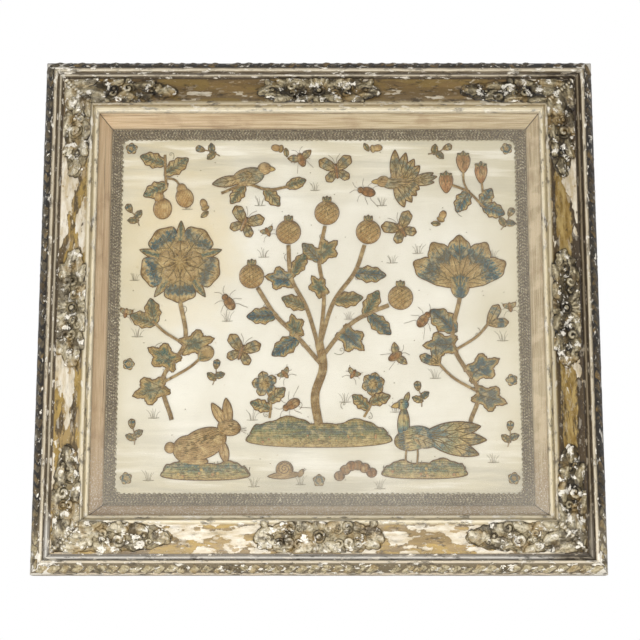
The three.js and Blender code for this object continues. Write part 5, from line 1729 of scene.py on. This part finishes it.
def small_sprigs():
    """Little sprigs, acorns, flowers and flies, sewn nearly flat between the larger motifs."""
    work = Work("small sprigs")
    for x, y, turn, kind in SMALL_SPRIGS:
        cosine, sine = math.cos(math.radians(turn)), math.sin(math.radians(turn))

        def at(across, upward):
            return x + across * cosine - upward * sine, y + across * sine + upward * cosine

        def small(form, across, upward, long, wide, lean, rise, silk_name, veins=0):
            work.pad(form, *at(across, upward), long, wide, turn + lean, rise, silk_name, veins=veins)

        def stalk(*points):
            line = flowing([at(*point) for point in points], 8)
            work.line(np.column_stack([line, np.full(8, 0.7)]), 0.6, "trunk", 5)

        if kind == "sprig":
            stalk((0, -11), (1.5, -2), (0, 8))
            small("lobed", 1, -5, 12, 8, 150, 1.6, "leaf", 2)
            small("lobed", 1, -2, 12, 8, 25, 1.6, "bluegreen", 2)
            small("scalloped", 0, 7, 10, 9, 90, 2.2, "petal", 1)
        elif kind == "acorn":
            stalk((0, -8), (0, -4), (0, 0))
            small("round", 0, 4, 10, 7, 90, 2.4, "fruit")
            small("round", 0, -1, 5, 8, 90, 2.8, "centre")
            small("lobed", 0, -6, 10, 6, 200, 1.6, "leaf", 1)
        elif kind == "flower":
            for petal in range(5):
                small("scalloped", 0, 0, 8, 6.5, 90 + 72 * petal, 1.8, "petal")
            small("round", 0, 0, 4, 4, 0, 2.6, "centre")
        else:
            for lean in (30, 150):
                small("leaf", 0, 0, 10, 5, lean, 1.2, "wing")
            small("round", 0, 0, 10, 4, 90, 2.2, "insect")
            for hand in (1, -1):
                for spread in (-3, 0, 3):
                    line = flowing([at(0, spread), at(hand * 5, spread * 1.4), at(hand * 8, spread * 2.4 - 1)], 5)
                    work.line(np.column_stack([line, np.full(5, 0.5)]), 0.2, "outline", 3)
    piece = work.piece("small_sprigs")
    return hang(piece, "gold_silk")


# The room

ROOM_GLOW = 0.56
PICTURE_CENTRE = (0, 0, PICTURE_MIDDLE / 1000)
# Name, place, power, size
LAMPS = [("key", (-0.30, -1.65, -1.30), 40, 0.9), ("fill", (0.6, -1.9, 0.1), 6, 1.0)]
LENS = 92.2
CAMERA_PLACE = (0.001, -1.621, -0.565)
CAMERA_TILT = 11.31


def floor():
    let_go()
    bpy.ops.mesh.primitive_grid_add(x_subdivisions=4, y_subdivisions=4, size=6, location=(0, -1.5, -1.45))
    ground = settle(named("floor"))
    material, tree, shader = new_finish("floor_paint", 0.8)
    at = put(tree, "ShaderNodeTexCoord", out="Object")
    lit(tree, shader, stops(tree, spots(tree, at, 400, 2), [(0.3, "e6e5e2"), (0.7, "eeedea")]))
    ground.data.materials.append(material)


def room_light():
    world = bpy.data.worlds.new("room")
    world.use_nodes = True
    tree = world.node_tree
    back = tree.nodes["Background"]
    back.inputs["Color"].default_value = (1, 1, 1, 1)
    back.inputs["Strength"].default_value = ROOM_GLOW
    seen = put(tree, "ShaderNodeBackground", {"Color": (1, 1, 1, 1), "Strength": 1.0})
    path = put(tree, "ShaderNodeLightPath", out="Is Camera Ray")
    mixed = tree.nodes.new("ShaderNodeMixShader")
    tree.links.new(path.socket, mixed.inputs[0])
    tree.links.new(back.outputs[0], mixed.inputs[1])
    tree.links.new(seen.socket, mixed.inputs[2])
    tree.links.new(mixed.outputs[0], tree.nodes["World Output"].inputs["Surface"])
    bpy.context.scene.world = world


def lamp(name, place, power, size):
    data = bpy.data.lights.new(name, "AREA")
    data.energy = power
    data.shape = "SQUARE"
    data.size = size
    lamp_object = bpy.data.objects.new(name, data)
    bpy.context.scene.collection.objects.link(lamp_object)
    lamp_object.location = place
    lamp_object.rotation_euler = (Vector(PICTURE_CENTRE) - Vector(place)).to_track_quat("-Z", "Y").to_euler()


def camera():
    data = bpy.data.cameras.new("camera")
    data.lens = LENS
    data.sensor_width = 36.0
    data.clip_start = 0.01
    view = bpy.data.objects.new("camera", data)
    bpy.context.scene.collection.objects.link(view)
    view.location = CAMERA_PLACE
    view.rotation_euler = (math.radians(90 + CAMERA_TILT), 0, 0)
    bpy.context.scene.camera = view


gilt = gilding()
ornament = moulded("moulded_ornament", ORNAMENT_SHADED, ORNAMENT_LIT, left_share=0.85, chip_from=0.570)
edge_leaves = moulded("moulded_edge", EDGE_SHADED, EDGE_LIT, left_share=0.12, chip_from=0.605)
tip = leaf_tip()
for side in SIDES:
    rail(side, gilt)
    leaf_tips(side, tip, edge_leaves)
bpy.data.objects.remove(tip)
for index, side in enumerate(SIDES):
    cartouche(side, ornament)
    corner(side, SIDES[(index + 1) % 4], ornament)

satin(satin_silk())
strip_finish, plait_finish = galloon_ground(), galloon_thread()
for side in SIDES:
    galloon(side, strip_finish, plait_finish)
for motif in (tree, rose, carnation, beasts, birds, sprigs, insects, small_sprigs, ground_stitches):
    motif()

level_wood, upright_wood = slip_wood("slip_wood_level", "X"), slip_wood("slip_wood_upright", "Z")
CAD_FINISHES = {"glass": pane_glass(), "backboard": board_wood(), "slip_top": level_wood, "slip_bottom": level_wood,
                "slip_left": upright_wood, "slip_right": upright_wood}
for node, finish in CAD_FINISHES.items():
    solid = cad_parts[node]
    solid.data.materials.clear()
    solid.data.materials.append(finish)

floor()
room_light()
for name, place, power, size in LAMPS:
    lamp(name, place, power, size)
camera()
bpy.context.scene.view_settings.view_transform = "Standard"
